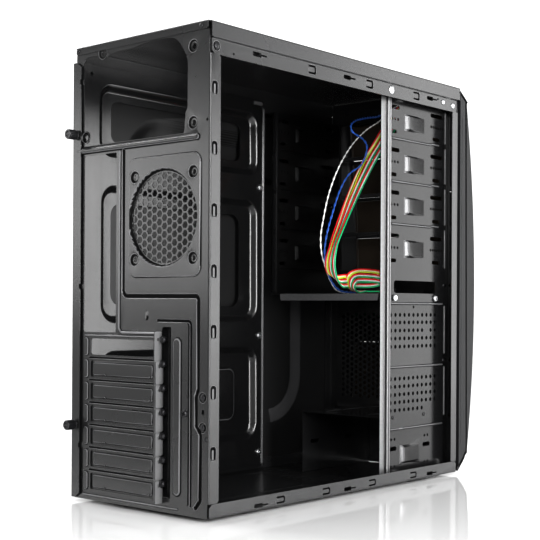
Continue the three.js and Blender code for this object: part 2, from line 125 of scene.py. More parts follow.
# ---------------------------------------------------------------- materials
class Mat:
    def __init__(self, name, color, rough=0.4, metal=0.0, **sockets):
        self.m = bpy.data.materials.new(name)
        self.m.use_nodes = True
        self.t = self.m.node_tree
        self.b = self.t.nodes["Principled BSDF"]
        self.b.inputs["Base Color"].default_value = (*color, 1)
        self.b.inputs["Roughness"].default_value = rough
        self.b.inputs["Metallic"].default_value = metal
        for k, v in sockets.items():
            self.b.inputs[k].default_value = v
        self.coord = self.t.nodes.new("ShaderNodeTexCoord").outputs["Object"]

    def node(self, kind, **props):
        n = self.t.nodes.new(kind)
        for k, v in props.items():
            setattr(n, k, v)
        return n

    def link(self, a, b):
        self.t.links.new(a, b)

    def noise(self, scale, detail=4, rough=0.6, stretch=None):
        n = self.node("ShaderNodeTexNoise")
        n.inputs["Scale"].default_value = scale
        n.inputs["Detail"].default_value = detail
        n.inputs["Roughness"].default_value = rough
        if stretch:
            mp = self.node("ShaderNodeMapping")
            mp.inputs["Scale"].default_value = stretch
            self.link(self.coord, mp.inputs["Vector"])
            self.link(mp.outputs[0], n.inputs["Vector"])
        else:
            self.link(self.coord, n.inputs["Vector"])
        return n.outputs["Fac"]

    def remap(self, src, a, b, lo, hi):
        n = self.node("ShaderNodeMapRange")
        n.inputs["From Min"].default_value = a
        n.inputs["From Max"].default_value = b
        n.inputs["To Min"].default_value = lo
        n.inputs["To Max"].default_value = hi
        self.link(src, n.inputs["Value"])
        return n.outputs["Result"]

    def mix(self, fac, a, b):
        n = self.node("ShaderNodeMix", data_type="RGBA")
        if isinstance(fac, float):
            n.inputs[0].default_value = fac
        else:
            self.link(fac, n.inputs[0])
        for i, c in ((6, a), (7, b)):
            if isinstance(c, tuple):
                n.inputs[i].default_value = (*c, 1)
            else:
                self.link(c, n.inputs[i])
        return n.outputs[2]

    def mul(self, a, b, op="MULTIPLY"):
        n = self.node("ShaderNodeMath", operation=op)
        for i, c in ((0, a), (1, b)):
            if isinstance(c, (int, float)):
                n.inputs[i].default_value = c
            else:
                self.link(c, n.inputs[i])
        return n.outputs[0]

    def bump(self, height, strength, distance):
        n = self.node("ShaderNodeBump")
        n.inputs["Strength"].default_value = strength
        n.inputs["Distance"].default_value = distance
        self.link(height, n.inputs["Height"])
        self.link(n.outputs["Normal"], self.b.inputs["Normal"])

    def edges(self, lo=0.53, hi=0.6):
        g = self.node("ShaderNodeNewGeometry")
        return self.remap(g.outputs["Pointiness"], lo, hi, 0.0, 1.0)


def powder_coat(name, color, worn, rough=(0.3, 0.42), spec=0.5, grain=0.35, metal=0.0, wear=0.22):
    """Satin black coating on sheet steel: fine orange peel, dust and faint wear on edges."""
    k = Mat(name, color, 0.36, metal)
    k.b.inputs["Specular IOR Level"].default_value = spec
    big = k.noise(5, 4, 0.6)
    fine = k.noise(950, 2, 0.5)
    mid = k.noise(420, 3, 0.6)
    patchy = k.mix(k.remap(big, 0.35, 0.7, 0.0, 1.0), color, tuple(min(1, c * 1.15 + 0.0006) for c in color))
    speck = k.remap(k.noise(1500, 1, 0.5), 0.66, 0.8, 0.0, 0.22)
    dusty = k.mix(speck, patchy, tuple(c * 2.2 + 0.004 for c in color))
    worn_at = k.mul(k.edges(0.55, 0.7), k.remap(mid, 0.45, 0.7, 0.1, wear))
    k.link(k.mix(worn_at, dusty, worn), k.b.inputs["Base Color"])
    k.link(k.remap(big, 0.3, 0.7, rough[0], rough[1]), k.b.inputs["Roughness"])
    k.bump(k.mul(fine, k.mul(mid, 0.35), "ADD"), grain, 0.00008)
    return k.m


def moulded(name, color, rough=(0.42, 0.58), grain=0.3, scale=1200, coat=0.0, spec=0.5):
    """Moulded plastic with a fine spark-eroded grain."""
    k = Mat(name, color, 0.5)
    k.b.inputs["Specular IOR Level"].default_value = spec
    if coat:
        k.b.inputs["Coat Weight"].default_value = coat
        k.b.inputs["Coat Roughness"].default_value = 0.12
    big = k.noise(14, 4, 0.6)
    fine = k.noise(scale, 2, 0.5)
    base = k.mix(k.remap(big, 0.35, 0.7, 0.0, 1.0), color, tuple(min(1, c * 1.2 + 0.001) for c in color))
    edge = k.mul(k.edges(0.54, 0.66), 0.5)
    k.link(k.mix(edge, base, tuple(min(1, c * 2.2 + 0.01) for c in color)), k.b.inputs["Base Color"])
    k.link(k.remap(big, 0.3, 0.7, rough[0], rough[1]), k.b.inputs["Roughness"])
    k.bump(fine, grain, 0.0001)
    return k.m


def plated(name, color, rough=(0.2, 0.38), spin=True):
    """Bright plating with fine scratches and dull patches."""
    k = Mat(name, color, 0.3, 1.0)
    scratch = k.noise(300, 3, 0.7, stretch=(1, 1, 12))
    big = k.noise(120, 4, 0.6)
    k.link(k.mix(k.remap(big, 0.4, 0.7, 0.0, 1.0), color, tuple(c * 0.72 for c in color)), k.b.inputs["Base Color"])
    k.link(k.remap(k.mul(scratch, big, "ADD"), 0.7, 1.3, rough[0], rough[1]), k.b.inputs["Roughness"])
    k.bump(scratch, 0.25, 0.00006)
    return k.m


M = {}
M["shell"] = powder_coat("shell_black", (0.0120, 0.0122, 0.0127), (0.10, 0.10, 0.105), (0.23, 0.29), 0.66)
M["inner"] = powder_coat("inner_black", (0.0075, 0.0076, 0.008), (0.08, 0.08, 0.085), (0.16, 0.21), 0.6)
# A light grey finish for painted highlight on folds and tabs that catch the light.
M["bright"] = powder_coat("painted_highlight_edge", (0.165, 0.165, 0.168), (0.6, 0.6, 0.6), (0.26, 0.34), 0.5, 0.3, 0.55)
# Finishes for pressed relief: the darker ones are painted shade at the foot of slopes, the lighter ones painted
# highlight on crests, partly standing for worn paint.
M["shell_crease"] = powder_coat("shell_crease", (0.003, 0.003, 0.0032), (0.02, 0.02, 0.02), (0.5, 0.6), 0.12)
M["shell_painted_crest_highlight"] = powder_coat("shell_painted_crest_highlight", (0.16, 0.16, 0.165), (0.4, 0.4, 0.4), (0.28, 0.36), 0.62)
M["inner_crease"] = powder_coat("inner_crease", (0.002, 0.002, 0.0022), (0.02, 0.02, 0.02), (0.5, 0.6), 0.1)
M["inner_painted_crest_highlight"] = powder_coat("inner_painted_crest_highlight", (0.085, 0.085, 0.088), (0.3, 0.3, 0.3), (0.22, 0.3), 0.66)
# A light grey finish: painted light on the ledge and tab faces that face the lamps.
M["ledge"] = powder_coat("painted_lit_ledge", (0.17, 0.17, 0.173), (0.5, 0.5, 0.5), (0.3, 0.4), 0.55)
# A lighter black, used on the tongues of the rear flange.
M["lighter_tone"] = powder_coat("lighter_black", (0.085, 0.085, 0.088), (0.3, 0.3, 0.3), (0.3, 0.4), 0.55)
# A darker, less shiny black: painted shade on inner faces deep inside the case.
M["inner_painted_deep_shade"] = powder_coat("inner_painted_deep_shade", (0.0035, 0.0036, 0.0038), (0.03, 0.03, 0.032), (0.28, 0.36), 0.26)
# A lighter, glossier finish: painted highlight on the side panel's slope seen through the open side.
M["panel_painted_highlight"] = powder_coat("panel_painted_highlight", (0.062, 0.062, 0.064), (0.4, 0.4, 0.4), (0.18, 0.26), 0.75)
M["cage_face"] = powder_coat("cage_face", (0.0085, 0.0086, 0.009), (0.08, 0.08, 0.085), (0.18, 0.24), 0.34)
M["panel_inside"] = powder_coat("panel_inside", (0.0135, 0.0136, 0.014), (0.07, 0.07, 0.074), (0.36, 0.44), 0.42)
M["foam"] = moulded("filter_foam", (0.030, 0.022, 0.015), (0.8, 0.95), 1.0, 420, spec=0.25)
M["bezel"] = moulded("bezel_grey", (0.0120, 0.0124, 0.0134), (0.36, 0.46), 0.25, 1100, spec=0.27)
M["button"] = moulded("button_black", (0.022, 0.022, 0.024), (0.25, 0.36), 0.15, 900, coat=0.3)
M["mesh"] = powder_coat("mesh_brown_black", (0.050, 0.040, 0.032), (0.16, 0.14, 0.12), (0.34, 0.46), 0.5, 0.2)
M["zinc"] = plated("zinc_plate", (0.66, 0.67, 0.68), (0.2, 0.36))
M["rivet"] = plated("rivet_steel", (0.30, 0.30, 0.31), (0.26, 0.42))
M["blackscrew"] = powder_coat("screw_black", (0.018, 0.018, 0.020), (0.22, 0.22, 0.22), (0.22, 0.34), 0.6, 0.15, 0.35)
M["rubber"] = moulded("foot_rubber", (0.016, 0.016, 0.016), (0.7, 0.85), 0.4, 700)
M["socket"] = plated("nickel_shell", (0.72, 0.72, 0.73), (0.18, 0.32))
M["jack"] = moulded("socket_black", (0.02, 0.02, 0.022), (0.35, 0.5), 0.2, 900)
M["plug"] = moulded("plug_black", (0.018, 0.018, 0.02), (0.4, 0.55), 0.2, 900)


def board_material():
    k = Mat("circuit_board", (0.02, 0.11, 0.045), 0.35)
    v = k.node("ShaderNodeTexVoronoi", feature="DISTANCE_TO_EDGE")
    v.inputs["Scale"].default_value = 240
    k.link(k.coord, v.inputs["Vector"])
    tracks = k.remap(v.outputs["Distance"], 0.0, 0.08, 1.0, 0.0)
    k.link(k.mix(tracks, (0.012, 0.075, 0.03), (0.03, 0.17, 0.07)), k.b.inputs["Base Color"])
    k.link(k.remap(k.noise(60), 0.3, 0.7, 0.28, 0.42), k.b.inputs["Roughness"])
    k.bump(tracks, 0.3, 0.00008)
    return k.m


M["board"] = board_material()


def lens_material(name, color):
    k = Mat(name, color, 0.12)
    k.b.inputs["Transmission Weight"].default_value = 0.55
    k.b.inputs["IOR"].default_value = 1.49
    k.link(k.remap(k.noise(300), 0.3, 0.7, 0.08, 0.2), k.b.inputs["Roughness"])
    k.link(k.mix(k.remap(k.noise(90), 0.3, 0.7, 0.0, 1.0), color, tuple(c * 0.8 for c in color)), k.b.inputs["Base Color"])
    k.bump(k.noise(500), 0.1, 0.0001)
    return k.m


M["lens_a"] = lens_material("lens_green", (0.45, 0.85, 0.6))
M["lens_b"] = lens_material("lens_amber", (0.9, 0.6, 0.25))


def wire_material(name, color):
    k = Mat(name, color, 0.36)
    # The insulation glows faintly in its own colour: painted light that brightens the wires.
    k.b.inputs["Emission Color"].default_value = (*color, 1)
    k.b.inputs["Emission Strength"].default_value = 0.09
    k.b.inputs["Subsurface Weight"].default_value = 0.08
    k.b.inputs["Subsurface Radius"].default_value = (0.002, 0.002, 0.002)
    n = k.noise(70, 4)
    k.link(k.mix(k.remap(n, 0.35, 0.7, 0.0, 1.0), color, tuple(c * 0.78 for c in color)), k.b.inputs["Base Color"])
    k.link(k.remap(n, 0.3, 0.7, 0.3, 0.44), k.b.inputs["Roughness"])
    k.bump(k.noise(800, 2), 0.15, 0.0001)
    return k.m


WIRES = [
    ("red", (0.88, 0.015, 0.02)), ("cream", (0.95, 0.90, 0.62)), ("lime", (0.66, 0.88, 0.05)),
    ("red", (0.88, 0.015, 0.02)), ("white", (0.95, 0.95, 0.93)), ("green", (0.005, 0.48, 0.20)),
    ("red", (0.88, 0.015, 0.02)), ("white", (0.95, 0.95, 0.93)), ("green", (0.005, 0.48, 0.20)),
]
for n, c in WIRES:
    if "wire_" + n not in M:
        M["wire_" + n] = wire_material("wire_" + n, c)
M["wire_blue"] = wire_material("wire_blue", (0.03, 0.13, 0.50))
M["wire_teal"] = wire_material("wire_teal", (0.25, 0.55, 0.52))


# ---------------------------------------------------------------- mesh helpers
ALL = {}


def obj(name, verts, faces, mat, body="chassis", smooth=35, mats=None, index=None, weighted=True, mm=True):
    """A mesh object from case-coordinate points in millimetres."""
    v = to_row(verts) if mm else np.asarray(verts, float)
    me = bpy.data.meshes.new(name)
    me.from_pydata([tuple(p) for p in v], [], [tuple(f) for f in faces])
    me.validate()
    o = bpy.data.objects.new(name, me)
    bpy.context.scene.collection.objects.link(o)
    for x in (mats or [mat]):
        me.materials.append(M[x])
    if index is not None:
        me.polygons.foreach_set("material_index", index)
    me.polygons.foreach_set("use_smooth", [True] * len(me.polygons))
    if smooth:
        me.set_sharp_from_angle(angle=math.radians(smooth))
    if weighted:
        w = o.modifiers.new("weighted", "WEIGHTED_NORMAL")
        w.mode, w.keep_sharp, w.weight = "FACE_AREA", True, 60
    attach(o, body)
    ALL[name] = o
    return o


def stand_for(o, slot, *nodes):
    if nodes:
        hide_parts(*nodes)
    return o


def inside(pts, poly):
    """Which points lie inside a closed polygon."""
    x, y = pts[:, 0], pts[:, 1]
    px, py = poly[:, 0], poly[:, 1]
    qx, qy = np.roll(px, -1), np.roll(py, -1)
    out = np.zeros(len(pts), bool)
    for a, b, c, d in zip(px, py, qx, qy):
        if b == d:
            continue
        hit = (b > y) != (d > y)
        out ^= hit & (x < (c - a) * (y - b) / (d - b) + a)
    return out


def to_line(pts, poly, closed=True):
    """Distance from each point to a polyline."""
    a = poly
    b = np.roll(poly, -1, 0) if closed else poly[1:]
    a = a if closed else poly[:-1]
    best = np.full(len(pts), 1e9)
    for p, q in zip(a, b):
        d = q - p
        t = np.clip(((pts - p) @ d) / max(d @ d, 1e-12), 0, 1)
        best = np.minimum(best, np.hypot(*(pts - p - t[:, None] * d).T))
    return best


def rounded(a0, a1, b0, b1, r, seg=6):
    r = min(r, (a1 - a0) / 2 - 1e-3, (b1 - b0) / 2 - 1e-3)
    out = []
    for ca, cb, s in ((a1 - r, b0 + r, -90), (a1 - r, b1 - r, 0), (a0 + r, b1 - r, 90), (a0 + r, b0 + r, 180)):
        for i in range(seg + 1):
            t = math.radians(s + 90 * i / seg)
            out.append((ca + r * math.cos(t), cb + r * math.sin(t)))
    return np.array(out)


def circle(a, b, r, n=20, start=0.0):
    t = np.arange(n) * 2 * math.pi / n + start
    return np.stack([a + r * np.cos(t), b + r * np.sin(t)], 1)


def hexagon(a, b, flat):
    """A hexagon with its flat sides above and below."""
    return circle(a, b, flat / math.sqrt(3), 6)


def smooth_loop(pts, radii, seg=5, closed=True):
    """Corner points to an outline with rounded corners."""
    pts = [np.array(p, float) for p in pts]
    n = len(pts)
    radii = radii if hasattr(radii, "__len__") else [radii] * n
    out = []
    for i in range(n):
        if not closed and i in (0, n - 1):
            out.append(pts[i])
            continue
        p, q, s = pts[i - 1], pts[i], pts[(i + 1) % n]
        r = radii[i]
        d0, d1 = p - q, s - q
        l0, l1 = np.linalg.norm(d0), np.linalg.norm(d1)
        d0, d1 = d0 / l0, d1 / l1
        ang = math.acos(np.clip(d0 @ d1, -1, 1))
        if r <= 0 or ang > math.pi - 0.02:
            out.append(q)
            continue
        cut = min(r / math.tan(ang / 2), l0 * 0.49, l1 * 0.49)
        rr = cut * math.tan(ang / 2)
        c = q + (d0 + d1) / np.linalg.norm(d0 + d1) * (rr / math.sin(ang / 2))
        a0 = math.atan2(*(q + d0 * cut - c)[::-1])
        a1 = math.atan2(*(q + d1 * cut - c)[::-1])
        da = (a1 - a0 + math.pi) % (2 * math.pi) - math.pi
        for k in range(seg + 1):
            t = a0 + da * k / seg
            out.append(c + rr * np.array((math.cos(t), math.sin(t))))
    return np.array(out)


def offset_line(line, d):
    """An open polyline moved sideways by d, to its left."""
    t = np.gradient(line, axis=0)
    t /= np.maximum(np.linalg.norm(t, axis=1), 1e-9)[:, None]
    seg = np.diff(line, axis=0)
    seg /= np.maximum(np.linalg.norm(seg, axis=1), 1e-9)[:, None]
    n = np.empty_like(line)
    n[0], n[-1] = seg[0], seg[-1]
    mid = seg[:-1] + seg[1:]
    n[1:-1] = mid / np.maximum(np.linalg.norm(mid, axis=1), 1e-9)[:, None]
    nrm = np.stack([-n[:, 1], n[:, 0]], 1)
    k = np.ones(len(line))
    k[1:-1] = 1 / np.clip((n[1:-1] * seg[:-1]).sum(1), 0.5, 1)
    return line + nrm * (d * k)[:, None]


def capsule(line, r, seg=6):
    """The outline at distance r all round an open polyline."""
    line = np.asarray(line, float)
    l, rgt = offset_line(line, r), offset_line(line, -r)[::-1]

    def cap(p, a, b):
        t0 = math.atan2(*(a - p)[::-1])
        return [p + r * np.array((math.cos(t0 - math.pi * i / seg), math.sin(t0 - math.pi * i / seg))) for i in range(1, seg)]

    return np.array([*l, *cap(line[-1], l[-1], rgt[0]), *rgt, *cap(line[0], rgt[-1], l[0])])


STEP = (0.0, 0.12, 0.3, 0.5, 0.7, 0.88, 1.0)


def s_curve(t):
    return t * t * (3 - 2 * t)


class Field:
    """A pressed region: inside a rounded rectangle the sheet is displaced by height, over a slope."""

    def __init__(self, a0, a1, b0, b1, r, height, slope, seg=6, steps=STEP):
        self.box, self.r, self.h, self.s, self.seg, self.steps = (a0, a1, b0, b1), r, height, slope, seg, steps

    def loops(self):
        a0, a1, b0, b1 = self.box
        for t in self.steps:
            d = t * self.s
            yield rounded(a0 + d, a1 - d, b0 + d, b1 - d, max(self.r - d, 0.4), self.seg)

    def z(self, p):
        a0, a1, b0, b1 = self.box
        r = self.r
        c = np.array([(a0 + a1) / 2, (b0 + b1) / 2])
        h = np.array([(a1 - a0) / 2 - r, (b1 - b0) / 2 - r])
        q = np.abs(p - c) - h
        sd = np.linalg.norm(np.maximum(q, 0), axis=1) + np.minimum(q.max(1), 0) - r
        return self.h * s_curve(np.clip(-sd / self.s, 0, 1))


class Dish(Field):
    """A round pressed region."""

    def __init__(self, a, b, r, height, slope, n=20, steps=(0, 0.3, 0.7, 1)):
        self.c, self.r, self.h, self.s, self.n, self.steps = np.array((a, b)), r, height, slope, n, steps

    def loops(self):
        for t in self.steps:
            if self.r - t * self.s > 0.05:
                yield circle(*self.c, self.r - t * self.s, self.n)

    def z(self, p):
        return self.h * s_curve(np.clip((self.r - np.linalg.norm(p - self.c, axis=1)) / self.s, 0, 1))


class Bead:
    """A rounded bead or groove along a line."""

    def __init__(self, line, half, height, flat=0.0, steps=(0, 0.25, 0.5, 0.75, 1)):
        self.line, self.half, self.h, self.flat, self.steps = np.asarray(line, float), half, height, flat, steps

    def loops(self):
        for t in self.steps:
            r = self.half - t * (self.half - self.flat)
            if r > 0.08:
                yield capsule(self.line, r)

    def lines(self):
        if self.flat <= 0.08:
            yield self.line

    def z(self, p):
        t = np.clip((self.half - to_line(p, self.line, False)) / (self.half - self.flat), 0, 1)
        return self.h * s_curve(t)


class Raise:
    """A pressed region of any outline, given as a closed loop."""

    def __init__(self, loop, height, slope, steps=(0, 0.3, 0.7, 1)):
        self.loop, self.h, self.s, self.steps = np.asarray(loop, float), height, slope, steps
        a = self.loop
        self.sign = np.sign((a[:, 0] * np.roll(a[:, 1], -1) - a[:, 1] * np.roll(a[:, 0], -1)).sum())

    def loops(self):
        for t in self.steps:
            closed = np.vstack([self.loop[-1:], self.loop, self.loop[:1]])
            yield offset_line(closed, self.sign * t * self.s)[1:-1]

    def z(self, p):
        d = np.where(inside(p, self.loop), to_line(p, self.loop), 0)
        return self.h * s_curve(np.clip(d / self.s, 0, 1))


class Path:
    """The cross-section of a folded sheet: corner points (p, q) with a fold radius."""

    def __init__(self, pts, r=1.6, seg=4):
        line = smooth_loop(pts, r, seg, closed=False)
        self.pts = line
        self.a = np.concatenate([[0], np.cumsum(np.linalg.norm(np.diff(line, axis=0), axis=1))])
        seg_d = np.diff(line, axis=0)
        seg_d /= np.linalg.norm(seg_d, axis=1)[:, None]
        n = np.vstack([seg_d[:1], seg_d[:-1] + seg_d[1:], seg_d[-1:]])
        n /= np.linalg.norm(n, axis=1)[:, None]
        # miter so that the sheet keeps its thickness round a fold
        k = np.ones(len(n))
        k[1:-1] = 1 / np.clip((n[1:-1] * seg_d[:-1]).sum(1), 0.4, 1)
        self.n = np.stack([n[:, 1], -n[:, 0]], 1) * k[:, None]
        turn = np.arccos(np.clip((seg_d[:-1] * seg_d[1:]).sum(1), -1, 1))
        self.stations = [self.a[i + 1] for i in range(len(turn)) if turn[i] > 0.01]
        self.length = self.a[-1]

    def of(self, p, q):
        """The arc length of the path's point nearest to (p, q)."""
        x = np.array((p, q), float)
        best, at = 1e9, 0
        for i in range(len(self.pts) - 1):
            d = self.pts[i + 1] - self.pts[i]
            t = np.clip((x - self.pts[i]) @ d / (d @ d), 0, 1)
            far = np.linalg.norm(x - self.pts[i] - t * d)
            if far < best:
                best, at = far, self.a[i] + t * np.linalg.norm(d)
        return at

    def at(self, a, z):
        p = np.interp(a, self.a, self.pts[:, 0]) + z * np.interp(a, self.a, self.n[:, 0])
        q = np.interp(a, self.a, self.pts[:, 1]) + z * np.interp(a, self.a, self.n[:, 1])
        return p, q


def sheet_mesh(place, outline, holes=(), features=(), t=0.8, cuts_a=(), cuts_b=(), flat_holes=True, extra=None):
    """Points and faces of a pressed sheet. place(a, b, z) gives case coordinates; z is out of the sheet's face."""
    pts, edges = [], []

    def add(loop, closed=True):
        loop = np.asarray(loop, float)
        base = len(pts)
        pts.extend(map(tuple, loop))
        n = len(loop)
        edges.extend((base + i, base + (i + 1) % n) for i in range(n if closed else n - 1))

    outline = np.asarray(outline, float)
    add(outline)
    holes = [np.asarray(h, float) for h in holes]
    for h in holes:
        add(h)
    for f in features:
        for l in f.loops():
            add(l)
        if hasattr(f, "lines"):
            for l in f.lines():
                add(l, False)
    (lo_a, lo_b), (hi_a, hi_b) = outline.min(0), outline.max(0)
    for a in cuts_a:
        if lo_a < a < hi_a:
            add([(a, lo_b - 1), (a, hi_b + 1)], False)
    for b in cuts_b:
        if lo_b < b < hi_b:
            add([(lo_a - 1, b), (hi_a + 1, b)], False)
    vs, _, fs, *_ = delaunay_2d_cdt([Vector(p) for p in pts], edges, [], 0, 1e-4)
    v = np.array([tuple(p) for p in vs])
    f = np.array([tuple(x) for x in fs if len(x) == 3], int)
    c = v[f].mean(1)
    keep = inside(c, outline)
    for h in holes:
        lo, hi = h.min(0), h.max(0)
        near = np.flatnonzero(keep & (c > lo).all(1) & (c < hi).all(1))
        if len(near):
            keep[near[inside(c[near], h)]] = False
    f = f[keep]
    area = np.cross(v[f[:, 1]] - v[f[:, 0]], v[f[:, 2]] - v[f[:, 0]])
    f = f[np.abs(area) > 1e-7]
    area = area[np.abs(area) > 1e-7]
    f[area < 0] = f[area < 0][:, ::-1]
    used, f = np.unique(f, return_inverse=True)
    v, f = v[used], f.reshape(-1, 3)
    z = np.zeros(len(v))
    for x in features:
        z += x.z(v)
    if extra is not None:
        z += extra(v)
    # Per-face marks for painted light: 1 paints shade into creases and the feet of slopes, 2 paints highlight onto
    # crests; wide slopes and quiet features are left to the lamps.
    mark = np.zeros(len(f), int)
    mid = v[f].mean(1)
    for x in features:
        h = getattr(x, "h", 0)
        if getattr(x, "quiet", False) or abs(h) < 0.25 or getattr(x, "s", 0) > 5:
            continue
        if hasattr(x, "painted_light_mask"):
            kind = x.painted_light_mask(mid)
            mark[kind > 0] = kind[kind > 0]
            continue
        part = x.z(mid) / h
        groove = h < 0 and type(x) is Bead
        if h > 0:
            mark[(part > 0.02) & (part < 0.42)] = 1
            mark[(part > 0.58) & ((part < 0.985) | (type(x) is Bead and x.half < 2.5))] = 2
            if hasattr(x, "band"):
                mark[part >= x.band[0]] = 0
                mark[(part > x.band[0]) & (part < x.band[1])] = 2
        else:
            mark[(part > 0.005) & (part < 0.28)] = 2
            mark[(part >= 0.28) & ((part < 0.985) | groove)] = 1
    top = np.stack(place(v[:, 0], v[:, 1], z), 1)
    bot = np.stack(place(v[:, 0], v[:, 1], z - t), 1)
    # does a right-handed (a, b) triangle face along +z?
    k = len(f) // 2
    n = np.cross(top[f[:, 1]] - top[f[:, 0]], top[f[:, 2]] - top[f[:, 0]])
    good = (n * (top[f[:, 0]] - bot[f[:, 0]])).sum(1)
    flip = good.sum() < 0
    e = np.concatenate([f[:, [0, 1]], f[:, [1, 2]], f[:, [2, 0]]])
    key = np.sort(e, 1)
    _, inv, cnt = np.unique(key, axis=0, return_inverse=True, return_counts=True)
    rim = e[cnt[inv.reshape(-1)] == 1]
    nv = len(v)
    faces = []
    faces += [tuple(x) for x in f]
    faces += [tuple(x + nv) for x in f[:, ::-1]]
    faces += [(b, a, a + nv, b + nv) for a, b in rim]
    if not flip:
        pass
    else:
        faces = [x[::-1] for x in faces]
    # case coordinates turn over once more on the way to the row frame
    faces = [x[::-1] for x in faces]
    return Sheet(np.vstack([top, bot]), faces, np.concatenate([mark, np.zeros(len(faces) - len(f), int)]))


class Sheet(tuple):
    """Points and faces, with a mark per face: 1 in a crease, for painted shade; 2 on a crest, for painted highlight
    with some worn paint.
    """

    def __new__(cls, v, f, mark):
        x = super().__new__(cls, (v, f))
        x.mark = mark
        return x


def merge(*parts):
    vs, fs, marks, base = [], [], [], 0
    for part in parts:
        v, f = part
        v = np.asarray(v, float)
        vs.append(v)
        fs.extend(tuple(i + base for i in x) for x in f)
        marks.append(getattr(part, "mark", np.zeros(len(f), int)))
        base += len(v)
    return Sheet(np.vstack(vs), fs, np.concatenate(marks))


def lathe(profile, n=24, phase=0.0):
    """Rings from (radius, height) pairs; a radius of 0 closes the end. Local axis is +z."""
    v, rings = [], []
    for r, h in profile:
        if r < 1e-6:
            rings.append([len(v)])
            v.append((0, 0, h))
        else:
            rings.append(list(range(len(v), len(v) + n)))
            for i in range(n):
                t = 2 * math.pi * i / n + phase
                v.append((r * math.cos(t), r * math.sin(t), h))
    f = []
    for a, b in zip(rings[:-1], rings[1:]):
        for i in range(n):
            j = (i + 1) % n
            if len(a) == 1 and len(b) == 1:
                continue
            if len(a) == 1:
                f.append((a[0], b[j], b[i]))
            elif len(b) == 1:
                f.append((a[i], a[j], b[0]))
            else:
                f.append((a[i], a[j], b[j], b[i]))
    return np.array(v), f


def aim(verts, faces, origin, axis):
    """Places a lathed piece: local +z along 'axis' in case coordinates ('u', 'w' or 'v', with a sign)."""
    v = np.asarray(verts, float)
    s = -1 if axis[0] == "-" else 1
    k = axis[-1]
    x, y, z = v.T
    if k == "u":
        out = np.stack([z * s, x, y], 1)
    elif k == "w":
        out = np.stack([x, z * s, y], 1)
    else:
        out = np.stack([x, y, z * s], 1)
    out = out + np.array(origin, float)
    # handedness of the mapping, then of the case coordinates themselves
    det = {"u": 1, "w": -1, "v": 1}[k] * s * -1
    return out, ([f[::-1] for f in faces] if det < 0 else faces)


def pan_rivet(r, h):
    return lathe([(0, 0.02), (r, 0.02), (r, h * 0.25), (r * 0.88, h * 0.62), (r * 0.6, h * 0.9), (r * 0.3, h), (r * 0.22, h * 0.8), (0, h * 0.72)], 20)


def screw_head(r, h, n=24):
    """A pan head with a cross recess, built as a disc with a star-shaped pocket."""
    outline = circle(0, 0, r, n)
    w = r * 0.17
    L = r * 0.62
    cross = np.array([(w, w), (L, w), (L, -w), (w, -w), (w, -L), (-w, -L), (-w, -w), (-L, -w), (-L, w), (-w, w), (-w, L), (w, L)])
    pts = [*map(tuple, outline), *map(tuple, circle(0, 0, r * 0.78, n)), *map(tuple, cross)]
    e = [(i, (i + 1) % n) for i in range(n)] + [(n + i, n + (i + 1) % n) for i in range(n)] + [(2 * n + i, 2 * n + (i + 1) % 12) for i in range(12)]
    vs, _, fs, *_ = delaunay_2d_cdt([Vector(p) for p in pts], e, [], 0, 1e-5)
    v = np.array([tuple(p) for p in vs])
    f = np.array([tuple(x) for x in fs if len(x) == 3])
    c = v[f].mean(1)
    f = f[inside(c, outline) & ~inside(c, cross)]
    d = np.hypot(*v.T)
    z = h * np.where(d > r * 0.9, 0.62, 1.0)
    V = [*np.column_stack([v, z])]
    F = [tuple(x) if np.cross(v[x[1]] - v[x[0]], v[x[2]] - v[x[0]]) > 0 else tuple(x[::-1]) for x in f]
    ids = {tuple(np.round(p, 5)): i for i, p in enumerate(v)}
    ci = [ids[tuple(np.round(p, 5))] for p in cross]
    low = len(V)
    V += [np.array((*p * 0.8, h * 0.35)) for p in cross]
    centre = len(V)
    V.append(np.array((0, 0, h * 0.3)))
    for i in range(12):
        j = (i + 1) % 12
        F.append((ci[j], ci[i], low + i, low + j))
        F.append((low + j, low + i, centre))
    oi = [ids[tuple(np.round(p, 5))] for p in outline]
    rim, base = len(V), len(V) + n
    V += [np.array((*p, 0.02)) for p in outline]
    V.append(np.array((0, 0, 0.02)))
    for i in range(n):
        j = (i + 1) % n
        F.append((oi[j], oi[i], rim + i, rim + j))
        F.append((rim + j, rim + i, base))
    return np.array(V), F


def screw_at(r, h, origin, axis, turn=0.3):
    v, f = screw_head(r, h)
    c, s = math.cos(turn), math.sin(turn)
    v = np.column_stack([v[:, 0] * c - v[:, 1] * s, v[:, 0] * s + v[:, 1] * c, v[:, 2]])
    return aim(v, f, origin, axis)


def solid_box(u0, u1, w0, w1, v0, v1, bevel=0.4, seg=2):
    """A box with rounded edges, in case coordinates."""
    bm = bmesh.new()
    bmesh.ops.create_cube(bm, size=1)
    for x in bm.verts:
        x.co = Vector((u0 + (x.co.x + 0.5) * (u1 - u0), w0 + (x.co.y + 0.5) * (w1 - w0), v0 + (x.co.z + 0.5) * (v1 - v0)))
    if bevel:
        bmesh.ops.bevel(bm, geom=bm.edges[:], offset=bevel, segments=seg, profile=0.6, affect="EDGES")
    bm.verts.index_update()
    v = np.array([tuple(x.co) for x in bm.verts])
    f = [tuple(x.index for x in face.verts)[::-1] for face in bm.faces]
    bm.free()
    return v, f


